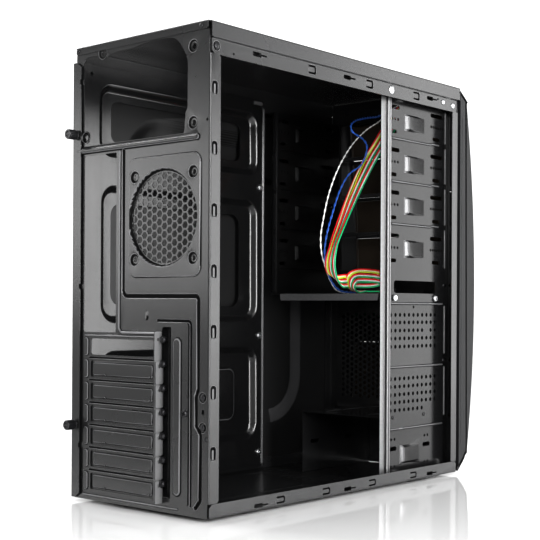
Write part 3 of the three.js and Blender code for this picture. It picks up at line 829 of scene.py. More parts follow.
# ---------------------------------------------------------------- leads
def catmull(points, step):
    """A smooth curve through the points, resampled to even steps."""
    p = np.asarray(points, float)
    p = np.vstack([2 * p[0] - p[1], p, 2 * p[-1] - p[-2]])
    out = []
    for i in range(1, len(p) - 2):
        k = np.sqrt(np.linalg.norm(np.diff(p[i - 1 : i + 3], axis=0), axis=1))
        t0, t1, t2, t3 = 0, k[0], k[0] + k[1], k.sum()
        t = np.linspace(t1, t2, 24, endpoint=False)[:, None]
        a, b, c, d = p[i - 1 : i + 3]
        a1 = (t1 - t) / (t1 - t0) * a + (t - t0) / (t1 - t0) * b
        a2 = (t2 - t) / (t2 - t1) * b + (t - t1) / (t2 - t1) * c
        a3 = (t3 - t) / (t3 - t2) * c + (t - t2) / (t3 - t2) * d
        b1 = (t2 - t) / (t2 - t0) * a1 + (t - t0) / (t2 - t0) * a2
        b2 = (t3 - t) / (t3 - t1) * a2 + (t - t1) / (t3 - t1) * a3
        out.append((t2 - t) / (t2 - t1) * b1 + (t - t1) / (t2 - t1) * b2)
    out = np.vstack([*out, p[-2][None]])
    s = np.concatenate([[0], np.cumsum(np.linalg.norm(np.diff(out, axis=0), axis=1))])
    n = int(round(s[-1] / step))
    at = np.linspace(0, s[-1], n + 1)
    return np.stack([np.interp(at, s, out[:, i]) for i in range(3)], 1), s[-1]


def tube(centres, across, over, radius, n=8):
    """A tube of ring centres with the two unit vectors of each ring."""
    v, f = [], []
    for c, a, b in zip(centres, across, over):
        for i in range(n):
            t = 2 * math.pi * i / n
            v.append(c + radius * (math.cos(t) * a + math.sin(t) * b))
    m = len(centres)
    for k in range(m - 1):
        for i in range(n):
            j = (i + 1) % n
            f.append((k * n + i, k * n + j, (k + 1) * n + j, (k + 1) * n + i))
    for k, flip in ((0, False), (m - 1, True)):
        v.append(centres[k])
        for i in range(n):
            j = (i + 1) % n
            face = (len(v) - 1, k * n + j, k * n + i)
            f.append(face[::-1] if flip else face)
    return np.array(v), f


def frames(line, across):
    """Unit tangents, and across made square to them; over completes each set."""
    t = np.gradient(line, axis=0)
    t /= np.linalg.norm(t, axis=1)[:, None]
    a = across - (across * t).sum(1)[:, None] * t
    a /= np.linalg.norm(a, axis=1)[:, None]
    return t, a, np.cross(t, a)


RIBBON = [(60, w, v) for w, v in (
    (392.5, 195.4), (392.5, 240), (392.5, 300), (392.5, 350), (392.2, 375), (390, 390), (383.5, 398), (373, 397.3),
    (358, 387.5), (340, 369.5), (321.2, 349.5), (306.8, 334), (289.3, 311.5), (272.3, 286.5), (256, 260),
    (243.5, 238), (238.2, 222), (240, 211), (247, 204.5))]
# the rest is folded up on the shelf: out, back above, and under itself to the connector
RIBBON += [(61.5, 256.5, 202.5), (63.6, 268, 203), (64.2, 282, 203.4), (64, 298, 203.6), (63.6, 312, 204), (62.6, 320, 205), (60, 323.4, 206.4),
           (57.2, 320.6, 207.8), (56.2, 312, 208.6), (56, 300, 209), (56, 288, 209), (56.2, 278, 208.4), (57.6, 272.8, 206), (59.2, 271.4, 201),
           (60, 273.4, 196.2), (60, 279, 193.2), (60, 290, 192.6), (60, 304, 192.6), (60, 318, 192.8), (60, 330.6, 193.2)]
WHITE = [(74, 391.5, 195.4), (74, 391.5, 260), (74, 391.5, 330), (74, 391.2, 374), (74, 389.5, 390), (74, 382.5, 399.6),
         (74, 371, 397.6), (74, 357, 389), (74, 340.5, 377.9), (74, 316.7, 365.5), (74, 290.3, 345.5), (74, 268.1, 319.5),
         (74, 253.2, 293), (74, 244.6, 268), (74, 239.8, 247), (74, 241.5, 231), (74, 248.5, 216), (75, 257.5, 203.5),
         (76.5, 268, 194.6), (77.6, 281, 191.7), (78, 296, 191.5)]
BLUE = [(80, 391.5, 195.4), (80, 391.5, 260), (80, 391.5, 330), (80, 391.2, 374), (80, 389.5, 389), (80, 382.5, 397.4),
        (79.6, 368, 394), (78.6, 345, 384.5),
        (75, 328.9, 381.1), (69, 304.5, 376.0), (62, 281.1, 369.8), (56.5, 266.6, 362.3), (53, 264.5, 355.9), (51, 269.9, 352.7), (50.5, 279.3, 349.8), (51.5, 287.7, 344.1), (54, 289.8, 335.7), (59, 287.9, 324.4),
        (66.5, 277.5, 314.5), (70.7, 268, 298),
        (70.9, 254.5, 271), (70.9, 245, 247), (70.9, 242.5, 230), (70.9, 246.5, 214), (70.9, 256, 201),
        (70.9, 268, 193.6), (71.3, 282, 191.8), (71.7, 296, 191.7)]


def connector(name, u0, u1, w0, w1, v0, v1, ways, node, slot):
    """A crimp housing with a latch slot and contact windows per way."""
    parts = [solid_box(u0, u1, w0, w1, v0, v1, 0.35)]
    pitch = (u1 - u0 - 0.8) / ways
    for i in range(ways):
        c = u0 + 0.4 + pitch * (i + 0.5)
        parts.append(solid_box(c - pitch * 0.3, c + pitch * 0.3, w0 + 2.2, w0 + 5.4, v1 - 0.15, v1 + 0.1, 0.08, 1))
        parts.append(solid_box(c - pitch * 0.42, c + pitch * 0.42, w1 - 3.4, w1 - 0.6, v1 - 0.2, v1 + 0.12, 0.1, 1))
        parts.append(solid_box(c - pitch * 0.34, c + pitch * 0.34, w0 - 0.25, w0 + 0.5, (v0 + v1) / 2 - 0.7, (v0 + v1) / 2 + 0.7, 0.1, 1))
    v, f = merge(*parts)
    o = obj(name, v, f, "plug")
    return stand_for(o, slot, node)


def unit(a):
    a = np.asarray(a, float)
    return a / np.linalg.norm(a)


VIEW_RIGHT = unit((-0.7551, 0.6557, 0))
VIEW_IN = unit((0.6557, 0.7551, 0))


def ribbon():
    line, length = catmull(RIBBON, 2.0)
    s = np.linspace(0, length, len(line))
    # the strip lies square behind the front, turns flat to the view as it comes over the top and twists on its way down
    keys = [(0, 0, 1, 0), (300, 0, 1, 0)]
    at = lambda w, v: s[np.argmin((line[:, 1] - w) ** 2 + (line[:, 2] - v) ** 2)]
    U = np.array((-1.0, 0, 0))
    V = np.array((0, 0, -1.0))
    fold = lambda i: s[np.argmin(((line - np.array(RIBBON[i])) ** 2).sum(1))]
    n0 = len(RIBBON)
    stops = [(0, U), (at(383.5, 398), U), (at(358, 387.5), VIEW_RIGHT), (at(321, 349.5), VIEW_RIGHT),
             (at(289, 311.5), unit(VIEW_RIGHT + 0.25 * -VIEW_IN)), (at(262, 270), unit(0.66 * VIEW_RIGHT - VIEW_IN * 0.7)),
             (at(243.5, 238), unit(0.5 * VIEW_RIGHT - VIEW_IN * 0.8)), (fold(17), unit(U + 0.3 * V)), (fold(19), unit(U * 0.5 + V)), (fold(20), V),
             (fold(30), V), (fold(31), unit(V + 0.3 * U)), (fold(33), unit(V * 0.5 + U)), (fold(35), U), (length, U)]
    ks = np.array([k for k, _ in stops])
    vals = np.array([v for _, v in stops])
    across = np.stack([np.interp(s, ks, vals[:, i]) for i in range(3)], 1)
    t, a, b = frames(line, across)
    verts, faces, index = [], [], []
    n, pitch = len(WIRES), 1.52
    base = 0
    for k, (colour, _) in enumerate(WIRES):
        off = (k - (n - 1) / 2) * pitch + (k // 3 - 1) * 0.5
        # single wires leave the flat strip a little in the free stretch
        free = np.clip((s - at(383.5, 398)) / 60, 0, 1) * np.clip((at(240.5, 209) - s) / 60, 0, 1)
        wave = free * (0.45 * np.sin(s / 23 + k * 1.9) + 0.25 * np.sin(s / 11 + k * 0.7))
        lift = free * 0.8 * np.sin(s / 37 + k * 2.3)
        v, f = tube(line + a * (off + wave * 0.5)[:, None] + b * lift[:, None], a, b, 0.78, 8)
        verts.append(v)
        faces += [tuple(i + base for i in x)[::-1] for x in f]
        index += [k] * len(f)
        base += len(v)
    names = ["wire_" + c for c, _ in WIRES]
    o = obj("ribbon_strip", np.vstack(verts), faces, None, mats=names, index=index, smooth=50, weighted=False)
    stand_for(o, "ribbon_wire", "ribbon_lead", "ribbon_hank")
    plug = connector("ribbon_connector", 53.4, 66.6, 330.6, 345, 190.4, 196.2, 10, "ribbon_plug", "plug_plastic")
    print("ribbon", round(length, 1))
    tuple(P(*RIBBON[0]))
    [tuple(x) for x in to_row(line)]


def pair(name, points, dia, colours, node, plug_box, plug_node, slot, ways):
    """A lead of two insulated wires twisted together."""
    line, length = catmull(points, 1.2)
    s = np.linspace(0, length, len(line))
    t = np.gradient(line, axis=0)
    t /= np.linalg.norm(t, axis=1)[:, None]
    a = np.empty_like(line)
    cur = unit(np.cross(t[0], (0, 1.0, 0.2)))
    for i in range(len(line)):
        cur = unit(cur - (cur @ t[i]) * t[i])
        a[i] = cur
    b = np.cross(t, a)
    verts, faces, index, base = [], [], [], 0
    r = dia / 4
    for k in range(2):
        ang = 2 * math.pi * s / 15 + k * math.pi
        off = (np.cos(ang)[:, None] * a + np.sin(ang)[:, None] * b) * r
        v, f = tube(line + off, a, b, r * 1.02, 8)
        verts.append(v)
        faces += [tuple(i + base for i in x)[::-1] for x in f]
        index += [k] * len(f)
        base += len(v)
    o = obj(name, np.vstack(verts), faces, None, mats=["wire_" + c for c in colours], index=index, smooth=50, weighted=False)
    stand_for(o, slot, node)
    plug = connector(name + "_connector", *plug_box, ways, plug_node, "plug_plastic")
    print(name, round(length, 1))
    tuple(P(*points[0]))
    [tuple(x) for x in to_row(line)]


ribbon()
pair("white_pair", WHITE, 1.8, ("white", "white"), "white_lead", (75.3, 80.9, 296.4, 311, 190.3, 193.1), "white_plug", "white_wire", 2)
pair("blue_pair", BLUE, 2.2, ("blue", "blue"), "blue_lead", (69, 74.6, 296.4, 311, 190.3, 193.1), "blue_plug", "blue_wire", 2)


# ---------------------------------------------------------------- floor and lights
floor_me = bpy.data.meshes.new("floor")
g = 41
xs = np.linspace(-14, 14, g)
floor_me.from_pydata([(x, y, 0) for x in xs for y in xs], [], [(i * g + j, (i + 1) * g + j, (i + 1) * g + j + 1, i * g + j + 1) for i in range(g - 1) for j in range(g - 1)])
floor = bpy.data.objects.new("floor", floor_me)
bpy.context.scene.collection.objects.link(floor)
fm = Mat("floor_white", (0.96, 0.96, 0.96), 0.06)
fm.link(fm.remap(fm.noise(3), 0.3, 0.7, 0.045, 0.075), fm.b.inputs["Roughness"])
floor_me.materials.append(fm.m)

def softbox(name, at, to, w, h, radiance):
    """A soft panel of that brightness, w by h metres."""
    o = area(name, at, to, w, radiance * w * h * math.pi, h)
    o.visible_camera = False
    return o


softbox("left_panel", (-1.082, -0.756, 0.24), (0.0, 0.12, 0.22), 0.22, 0.66, 8.0)
softbox("left_wide", (-0.877, -0.961, 0.42), (-0.05, 0.0, 0.25), 0.6, 1.15, 1.8)
softbox("cage_panel", (-0.72, -1.13, 0.36), (-0.07, -0.12, 0.25), 0.3, 0.95, 3.0)
softbox("rear_panel_light", (1.25, 1.3, 0.42), (0, 0.2, 0.3), 0.8, 0.42, 5.0)
softbox("upper_right", (1.15, 0.35, 1.3), (0, 0.2, 0.2), 0.45, 0.45, 16)
softbox("camera_side", (-0.98, 1.22, 0.62), (0, 0, 0.2), 0.28, 0.6, 24)
softbox("slope_strip", (-1.55, 0.22, 0.42), (0, 0, 0.22), 0.4, 0.9, 20)
softbox("open_side", (-1.5, -0.1, 1.2), (0.05, 0, 0.15), 0.9, 0.7, 2.2)
softbox("over", (0, 0, 2.0), (0, 0, 0.2), 1.8, 1.8, 1.0)


# ---------------------------------------------------------------- folded sheets
class Fold(Path):
    """A folded section whose arc length is counted so that 'ref' has the value 'at'."""

    def __init__(self, pts, r=1.6, seg=4, ref=None, value=0.0):
        super().__init__(pts, r, seg)
        self.k = (self.of(*ref) - value) if ref else 0.0
        self.cuts = [x - self.k for x in self.stations]
        self.lo, self.hi = -self.k, self.length - self.k

    def A(self, p, q):
        return self.of(p, q) - self.k

    def point(self, a, z):
        return self.at(np.asarray(a) + self.k, z)


def bottle(c0, c1, mid, wide=11.0, wh=4.0, nh=1.5):
    """A keyhole slot: a wide rounded part and a narrow neck, along the first axis."""
    w1 = c0 + wide
    return smooth_loop([(c0, mid - wh / 2), (w1, mid - wh / 2), (w1, mid - nh / 2), (c1, mid - nh / 2), (c1, mid + nh / 2), (w1, mid + nh / 2), (w1, mid + wh / 2), (c0, mid + wh / 2)],
                       [1.8, 1.2, 0.4, 0.7, 0.7, 0.4, 1.2, 1.8], 3)


def tongue(c0, c1, lo, hi, gap=1.5):
    """A lanced tongue: a narrow U-shaped cut open towards the first end."""
    m0, m1 = lo, hi
    return smooth_loop([(c0, m0), (c1, m0), (c1, m1), (c0, m1), (c0, m1 - gap), (c1 - gap, m1 - gap), (c1 - gap, m0 + gap), (c0, m0 + gap)],
                       [0.3, 2, 2, 0.3, 0.3, 1.4, 1.4, 0.3], 3)


def swap(x):
    return np.asarray(x)[:, ::-1]


def slot_hole(a0, a1, b, h):
    return rounded(a0, a1, b - h / 2, b + h / 2, h / 2, 4)


def clip_round(poly, c, r, n=64):
    """A convex polygon cut off at a circle."""
    ring = circle(*c, r, n)
    out = [np.array(p) for p in poly]
    for p, q in zip(ring, np.roll(ring, -1, 0)):
        e = q - p
        side = [e[0] * (x[1] - p[1]) - e[1] * (x[0] - p[0]) for x in out]
        new = []
        for i in range(len(out)):
            j = (i + 1) % len(out)
            if side[i] >= 0:
                new.append(out[i])
            if (side[i] >= 0) != (side[j] >= 0):
                t = side[i] / (side[i] - side[j])
                new.append(out[i] + t * (out[j] - out[i]))
        out = new
        if len(out) < 3:
            return None
    out = np.array(out)
    keep = np.linalg.norm(out - np.roll(out, 1, 0), axis=1) > 0.15
    out = out[keep]
    if len(out) < 3:
        return None
    x, y = out.T
    a = abs((x * np.roll(y, -1) - y * np.roll(x, -1)).sum()) / 2
    return out if a > 5 else None


STEEL, INNER = "steel_black", "inner_black"


def build(name, mesh, mat, slot, nodes, body="chassis", smooth=32):
    v, f = mesh
    mark = getattr(mesh, "mark", None)
    if mark is not None and mark.any():
        # marked faces take the darker finish (painted shade) or the lighter finish (painted highlight)
        o = obj(name, v, f, mat, body, smooth, mats=[mat, mat + "_crease", mat + "_painted_crest_highlight"], index=mark)
    else:
        o = obj(name, v, f, mat, body, smooth)
    return stand_for(o, slot, *nodes)


def paint(o, mat, test, base_only=False):
    """Another finish on the faces for which test(u, w, v, normal) holds."""
    o.data.materials.append(M[mat])
    k = len(o.data.materials) - 1
    for poly in o.data.polygons:
        x, y, z = (c * 1000 for c in poly.center)
        if base_only and poly.material_index:
            continue
        if test(x + U_MID, W_MID - y, z - FOOT, poly.normal):
            poly.material_index = k


def rear_panel():
    fold = Fold([(0, 12.5), (0, 0), (171.3, 0), (171.3, 10)], 1.5, 4, ref=(85, 0), value=85)
    L, R = 1.2, 170.1
    lo, hi = fold.lo, fold.hi
    outline = [(lo, 14.3), (lo + 2, 12.3), (L, 12.3), (L, 0), (R, 0), (R, 12.3), (hi - 2, 12.3), (hi, 14.3), (hi, 382.7), (hi - 2, 384.7),
               (R, 384.7), (R, 404.5), (167, 410.6), (4.5, 410.6), (4.2, 404.5), (L, 404.5), (L, 384.7), (lo + 2, 384.7), (lo, 382.7)]
    a1 = [(134.3 + 7 * math.cos(math.radians(t)), 403.1 + 7 * math.sin(math.radians(t))) for t in np.linspace(-11.5, -168.5, 14)]
    a2 = [(157.5 + 5.7 * math.cos(math.radians(t)), 329 + 5.7 * math.sin(math.radians(t))) for t in np.linspace(-64, -296, 16)]
    psu = [(160, 321), *a2, (160, 396.7), (158.6, 400.2), (155, 401.7), *a1, (94.3, 401.7), (88, 402.4), (80, 403.6), (67, 404.4), (53, 404.2),
           (43, 403.0), (37, 399), (31.4, 392), (27.9, 386), (26.4, 381), (26.4, 343), (27, 341), (28.6, 339), (30, 324), (30.4, 322), (31.5, 321.2)]
    fan = (55.5, 251.5)
    holes = [psu, rounded(115, 159.3, 152.1, 312.1, 1.5, 3), rounded(43.6, 55.7, 12, 158, 2.5, 4),
             swap(slot_hole(163.4, 172.4, 74.6, 3.8)), circle(3.3, 330, 1.3, 12), rounded(5, 9, 86, 90, 0.5, 2),
             circle(168, 332, 2.3, 16), circle(168, 67, 2.3, 16)]
    holes += [rounded(65.5, 148.5, v - 7.3, v + 7.3, 1.6, 3) for v in SLOTS]
    flange = lambda w: fold.A(0, w)
    for v in (357, 307, 255.5, 205, 155, 104.5, 54):
        holes.append(swap(smooth_loop([(v - 5.5, flange(8.6)), (v + 5, flange(8.6)), (v + 5, flange(2.6)), (v - 5.5, flange(2.6)), (v - 5.5, flange(4.5)), (v + 3.0, flange(4.5)), (v + 3.0, flange(6.8)), (v - 5.5, flange(6.8))],
                                      [0.3, 2.6, 2.6, 0.3, 0.3, 1.1, 1.1, 0.3], 4)))
    psu_screws = [(20, 393), (20, 329), (134.3, 403.1), (157.5, 329)]
    fan_screws = [(18.3, 216), (18.3, 288), (89.8, 216), (89.8, 288)]
    holes += [circle(*c, 2.5, 16) for c in psu_screws] + [circle(*c, 2.2, 14) for c in fan_screws]
    for i in range(-7, 8):
        for j in range(-7, 8):
            c = (fan[0] + i * 6.2, fan[1] + (j + (0.5 if i % 2 else 0)) * 7.2)
            if math.hypot(c[0] - fan[0], c[1] - fan[1]) < 43:
                h = clip_round(hexagon(*c, 5.7), fan, 39.2)
                if h is not None:
                    holes.append(h)
    feats = [Field(9.3, 98, 200, 305, 9, 1.5, 1.3, 6, (0, 0.3, 0.7, 1)), Dish(*fan, 42.6, -3.6, 2.6, 60, (0, 0.2, 0.5, 0.8, 1))]
    feats += [Dish(*c, 5.8, -1.8, 2.2, 24) for c in fan_screws]
    feats += [Dish(*c, 5.8, -1.4, 1.8, 24) for c in psu_screws[:2]]
    feats += [Dish(*psu_screws[2], 6.0, -1.2, 1.5, 24), Dish(*psu_screws[3], 5.0, -1.2, 1.3, 24)]
    feats += [Bead([(14.4, 316.8), (166, 316.8)], 3.4, 2.4, 0.5, (0, 0.2, 0.4, 0.52, 0.7, 0.85, 1))]
    # painted highlight on a strip part way up this bead's flanks
    feats[-1].band = (0.4, 0.62)
    feats += [Dish(7, v, 4.6, -0.7, 1.2, 24) for v in (100, 75)]
    ends = sorted((flange(1.9), flange(9.3)))
    feats += [Field(*ends, v - 6.2, v + 5.7, 3.0, -0.4, 0.75, 4, (0, 0.3, 1)) for v in (357, 307, 255.5, 205, 155, 104.5, 54)]
    step = smooth_loop([(105.7, 312.4), (105.7, 184.3), (12.4, 184.3), (12.4, 106), (14.6, 101), (14.6, 76), (9.6, 70), (9.6, 14), (15, 8)], [0, 6, 4, 4, 3, 3, 4, 5, 0], 5, False)
    feats += [Bead(step, 2.3, -2.0, 0.6)]
    inner = smooth_loop([(110.2, 312.4), (110.2, 156), (107, 152.4), (64, 152.4)], [0, 2, 3, 0], 4, False)
    feats += [Bead(inner, 1.7, 1.3, 0.3)]
    feats += [Bead([(64, 149.2), (112.5, 149.2), (156, 149.2)], 1.0, 0.8, 0.2)]
    for v in SLOTS[1:]:
        feats.append(Bead([(64.5, v + 10.1), (150, v + 10.1)], 1.1, -0.9, 0.3))
    for v in SLOTS:
        feats.append(Field(150.9, 157.6, v - 8.6, v + 8.6, 3, 1.2, 1.1, 4, (0, 0.5, 1)))
    feats += [Bead(smooth_loop([(61, 163.3), (20.8, 163.3), (20.8, 9)], [0, 4, 0], 5, False), 1.5, -1.3, 0.4)]
    feats += [Bead([(36, 4.4), (158, 4.4)], 1.2, 0.6, 0.2)]
    main = sheet_mesh(lambda a, b, z: (*fold.point(a, z), b), outline, holes, feats, 1.0, cuts_a=fold.cuts)
    ledge = sheet_mesh(lambda a, b, z: (57 + z, b, a), rounded(9, 154, -8.5, 0.5, 1.6, 4), [circle(v, -4.2, 1.4, 12) for v in SCREWS], (), 1.0)
    o = build("rear_sheet", merge(main, ledge), "shell", STEEL, ["rear_panel"])
    # Painted light: the ledge's side faces take the light grey finish, as if lit.
    paint(o, "ledge", lambda u, w, v, n: w < 0.4 and 55 < u < 58.2 and abs(n.x) > 0.6)
    # the tongues of the flange take the lighter black
    paint(o, "lighter_tone", lambda u, w, v, n: u < 0.5 and 4.1 < w < 7.1 and any(-5.5 < v - c < 3.4 for c in (357, 307, 255.5, 205, 155, 104.5, 54)))
    # the dark channel behind the row of screws
    ch = Fold([(43.0, 1.3), (43.0, 10), (57.6, 10), (57.6, 3.2)], 1.0, 3)
    m = sheet_mesh(lambda a, b, z: (*ch.point(a, z), b), [(ch.lo, 11), (ch.hi, 11), (ch.hi, 159), (ch.lo, 159)], [], [], 0.7, cuts_a=ch.cuts)
    v, f = m
    o = obj("screw_channel", v, f, "inner")
    stand_for(o, INNER)


SLOTS = [139, 118.9, 98.6, 78.3, 58, 37.6, 17.3]
SCREWS = [147.1, 126.4, 105.7, 85.4, 65, 44.6, 24.3]


def slot_covers():
    fold = Fold([(55.3, -8.4), (55.3, 1.3), (157, 1.3)], 1.1, 4, ref=(100, 1.3), value=100)
    for i, v0 in enumerate(SLOTS[1:], 2):
        out = smooth_loop([(fold.lo, -9.7), (53.2, -9.7), (54.6, -9.2), (148.5, -9.2), (151.5, -7), (157, -5.2), (157, 5.2), (151.5, 7), (148.5, 9.2), (54.6, 9.2), (53.2, 9.7), (fold.lo, 9.7)],
                          [0.8, 0.3, 0.3, 1.5, 1.5, 4, 4, 1.5, 1.5, 0.3, 0.3, 0.8], 4)
        feats = [Field(67.4, 146.6, -6.2, 6.2, 2.6, 0.95, 1.2, 5, (0, 0.3, 0.7, 1)), Dish(129, -5.2, 1.3, 0.7, 1.0, 12, (0, 0.5, 1)), Dish(71, -4.6, 1.3, 0.7, 1.0, 12, (0, 0.5, 1))]
        m = sheet_mesh(lambda a, b, z: (*fold.point(a, z), b + v0), out, [circle(fold.A(55.3, -4.2), 5.6 if i else 5.6, 1.5, 12)], feats, 0.9, cuts_a=fold.cuts)
        o = build(f"slot_blank_{i}", m, "shell", STEEL, [f"slot_cover_{i}"])
        # Painted light on the tabs' side faces, the same light grey finish as the ledge.
        paint(o, "ledge", lambda u, w, v, n: w < 0.2 and u < 57 and abs(n.x) > 0.6)
    plate = sheet_mesh(lambda a, b, z: (a, -1.3 - z, b), smooth_loop([(22.9, 8.6), (43.4, 8.6), (43.4, 161.4), (22.9, 161.4)], 2.5, 4), [],
                       [Field(29.8, 41.4, 15, 150, 5.7, 1.3, 2.6, 7), Dish(26.4, 85.7, 3.6, -0.3, 0.8, 18, (0, 0.5, 1))], 1.0)
    build("retention_plate", plate, "shell", STEEL, ["slot_retention_cover"])


def top_cover():
    fold = Fold([(171.3, 386), (171.3, 412), (0, 412), (0, 398.7), (1.7, 397.6), (1.7, 385)], [0, 1.6, 1.6, 0.5, 0.6, 0], 4, ref=(0, 400), value=0)
    top = fold.A(85, 412)
    # the arc length runs down the open side, so a height v is -(v - 400) from the reference
    side = lambda v: fold.A(0, v)
    rail = lambda v: fold.A(1.7, v)
    join_a = side(398.9)
    out = [(fold.lo, 14), (fold.lo + 2, 12), (fold.A(171.3, 398), 12), (fold.A(171.3, 399), 2), (join_a, 2), (join_a, 4), (rail(396.5), 3.2), (rail(388), 3.2), (rail(385.6), 6), (rail(385), 9), (rail(385), 381),
           (join_a, 381), (join_a, 386), (fold.A(171.3, 399), 386), (fold.A(171.3, 398), 381), (fold.lo + 2, 381), (fold.lo, 379)]
    holes = [swap(bottle(w, w + 18.7, rail(393.3))) for w in (53.8, 182.5, 324.3)]
    holes += [swap(tongue(w, w + 10.8, rail(396), rail(388.5))) for w in (130, 218.6, 299.6)]
    holes += [circle(rail(394.8), 345, 0.9, 10), circle(rail(388.5), 30, 1.1, 10)]
    feats = [Dish(rail(392), 9.3, 4.4, -0.5, 1.1, 24)]
    ends = sorted((rail(396.7), rail(387.8)))
    feats += [Field(*ends, w - 0.6, w + 11.5, 2.6, -0.4, 0.75, 4, (0, 0.3, 1)) for w in (130, 218.6, 299.6)]
    main = sheet_mesh(lambda a, b, z: ((pq := fold.point(a, z))[0], b, pq[1]), out, holes, feats, 1.0, cuts_a=fold.cuts)
    rear = Fold([(2.2, 412), (-1.3, 412), (-1.3, 405)], 1.2, 4)
    strip = sheet_mesh(lambda a, b, z: (b, *rear.point(a, z)), [(rear.length, 3.4), (rear.length - 1.4, 2.2), (0, 2.2), (0, 169.2), (rear.length - 1.4, 169.2), (rear.length, 168)], [circle(rear.length - 3.4, 88, 0.9, 10)], [], 1.0, cuts_a=rear.cuts)
    build("top_sheet", merge(main, strip), "shell", STEEL, ["top_cover"])


def chassis_floor():
    fold = Fold([(0, 12), (0, 0), (171.3, 0), (171.3, 12)], 1.6, 4, ref=(85, 0), value=85)
    side = lambda v: fold.A(0, v)
    out = [(fold.lo, 4.5), (fold.lo + 3, 1.3), (fold.hi - 3, 1.3), (fold.hi, 4.5), (fold.hi, 378), (fold.hi - 3, 381.3), (fold.lo + 3, 381.3), (fold.lo, 378)]
    holes = [swap(bottle(w, w + 18.8, side(3.9), 11, 3.6, 1.3)) for w in (57, 184.4, 325)]
    holes += [swap(tongue(w, w + 11, side(8.75), side(2.4))) for w in (87, 152, 224.3, 295)]
    holes += [rounded(60, 62, 60, 200, 0.9, 2), circle(30, 100, 2.4, 14), circle(140, 100, 2.4, 14), circle(30, 220, 2.4, 14), circle(140, 220, 2.4, 14)]
    feats = [Field(22, 150, 24, 236, 12, -0.9, 2.2, 6, (0, 0.3, 0.7, 1)), Bead([(40, 252), (40, 366)], 3, -0.8), Bead([(130, 252), (130, 366)], 3, -0.8)]
    feats = [Field(22, 150, 24, 236, 12, 0.8, 2.2, 6, (0, 0.3, 0.7, 1)), Bead([(140, 262), (140, 366)], 3, 0.8)]
    m = sheet_mesh(lambda a, b, z: ((pq := fold.point(a, z))[0], b, pq[1]), out, holes, feats, 1.0, cuts_a=fold.cuts)
    build("floor_sheet", m, "shell", STEEL, ["chassis_floor"])


def tray():
    fold = Fold([(1.6, 163.2), (254, 163.2), (254, 169.2)], 1.6, 4, ref=(100, 163.2), value=100)
    out = smooth_loop([(1.8, 4.4), (fold.hi, 4.4), (fold.hi, 398), (1.8, 398)], 2, 3)
    holes = [rounded(40, 221, 330, 369, 8, 5), rounded(40, 220, 176, 273, 12, 6)]
    holes += [circle(12, 390, 1.8, 12), circle(12, 12, 1.8, 12)]
    feats = [Field(21, 243, 315, 384, 16, -5.2, 8, 8), Field(23.6, 244, 159, 290, 18, -5.2, 8, 8), Field(23, 244, 34, 134, 18, -5.2, 8, 8),
             Field(52, 214, 56, 112, 10, 0.9, 2.2, 6, (0, 0.3, 0.7, 1))]
    feats += [Dish(246.5, v, 4, -0.5, 1, 18, (0, 0.5, 1)) for v in (304, 145, 20)]
    feats += [Bead([(251.6, 8), (251.6, 388)], 1.6, 1.4, 0.3), Field(234, 248.6, 391.2, 396.4, 1.6, 2.4, 1.1, 4, (0, 0.5, 1))]
    m = sheet_mesh(lambda a, b, z: ((pq := fold.point(a, z))[1], pq[0], b), out, holes, feats, 1.0, cuts_a=fold.cuts)
    foot = sheet_mesh(lambda a, b, z: (a, b, 4.0 - z), [(163.6, 3), (169.2, 3), (169.2, 252), (163.6, 252)], [], [], 0.8)
    o = build("tray_sheet", merge(m, foot), "inner", INNER, ["motherboard_tray"])
    # Painted highlight: two lighter lines along the front fold.
    paint(o, "inner_painted_crest_highlight", lambda u, w, v, n: u < 164.5 and (250.2 < w < 251.3 or 252.3 < w < 253.6) and v < 391)
    # Painted highlight on the small raised tab.
    paint(o, "bright", lambda u, w, v, n: u < 162 and 235 < w < 248 and 392 < v < 396)


class Wedge:
    """A pressed wedge: rises from w0 to w1 and fades to w2, between v0 and v1."""

    def __init__(self, w0, w1, w2, v0, v1, h, edge=2.2):
        self.b, self.h, self.e = (w0, w1, w2, v0, v1), h, edge

    def loops(self):
        w0, w1, w2, v0, v1 = self.b
        for d in (0, self.e * 0.5, self.e):
            yield np.array([(w0 + d * 0.4, v0 + d), (w1, v0 + d), (w2 - d, v0 + d), (w2 - d, v1 - d), (w1, v1 - d), (w0 + d * 0.4, v1 - d)])

    def lines(self):
        w0, w1, w2, v0, v1 = self.b
        for t in (0.25, 0.5, 0.75):
            yield np.array([(w0 + t * (w1 - w0), v0), (w0 + t * (w1 - w0), v1)])
        yield np.array([(w1, v0), (w1, v1)])
        for t in (0.3, 0.65):
            yield np.array([(w1 + t * (w2 - w1), v0), (w1 + t * (w2 - w1), v1)])

    # painted highlight (2) on the rising slope and painted shade (1) in a strip at its foot
    def painted_light_mask(self, p):
        w0, w1, w2, v0, v1 = self.b
        across = (p[:, 1] > v0) & (p[:, 1] < v1)
        return np.where(across & (p[:, 0] > w0) & (p[:, 0] < w1), 2, np.where(across & (p[:, 0] > w0 - 1.2) & (p[:, 0] <= w0), 1, 0))

    def z(self, p):
        w0, w1, w2, v0, v1 = self.b
        up = s_curve(np.clip((p[:, 0] - w0) / (w1 - w0), 0, 1))
        down = np.clip((w2 - p[:, 0]) / (w2 - w1), 0, 1)
        edge = s_curve(np.clip(np.minimum(p[:, 1] - v0, v1 - p[:, 1]) / self.e, 0, 1))
        return self.h * np.where(p[:, 0] < w1, up, down) * edge


def bay_holes(k, shift=0.0):
    holes = []
    for v in (379, 335.7, 292.4, 248.7):
        holes += [slot_hole(274, 290, v, 4.2), slot_hole(347, 370, v, 4.2)]
    for v in (367, 323.7, 280.3, 236.7):
        holes += [circle(w, v, 1.5, 12) for w in (276.4, 281.9, 287.3)]
        holes += [circle(w, v, 1.5, 12) for w in (348.5, 352.6, 356.7, 360.8, 364.9, 369)]
    for v in (354.3, 310.7, 267.1, 223.6):
        holes += [slot_hole(275, 285, v, 3.8), slot_hole(351, 365, v, 3.8)]
    return holes


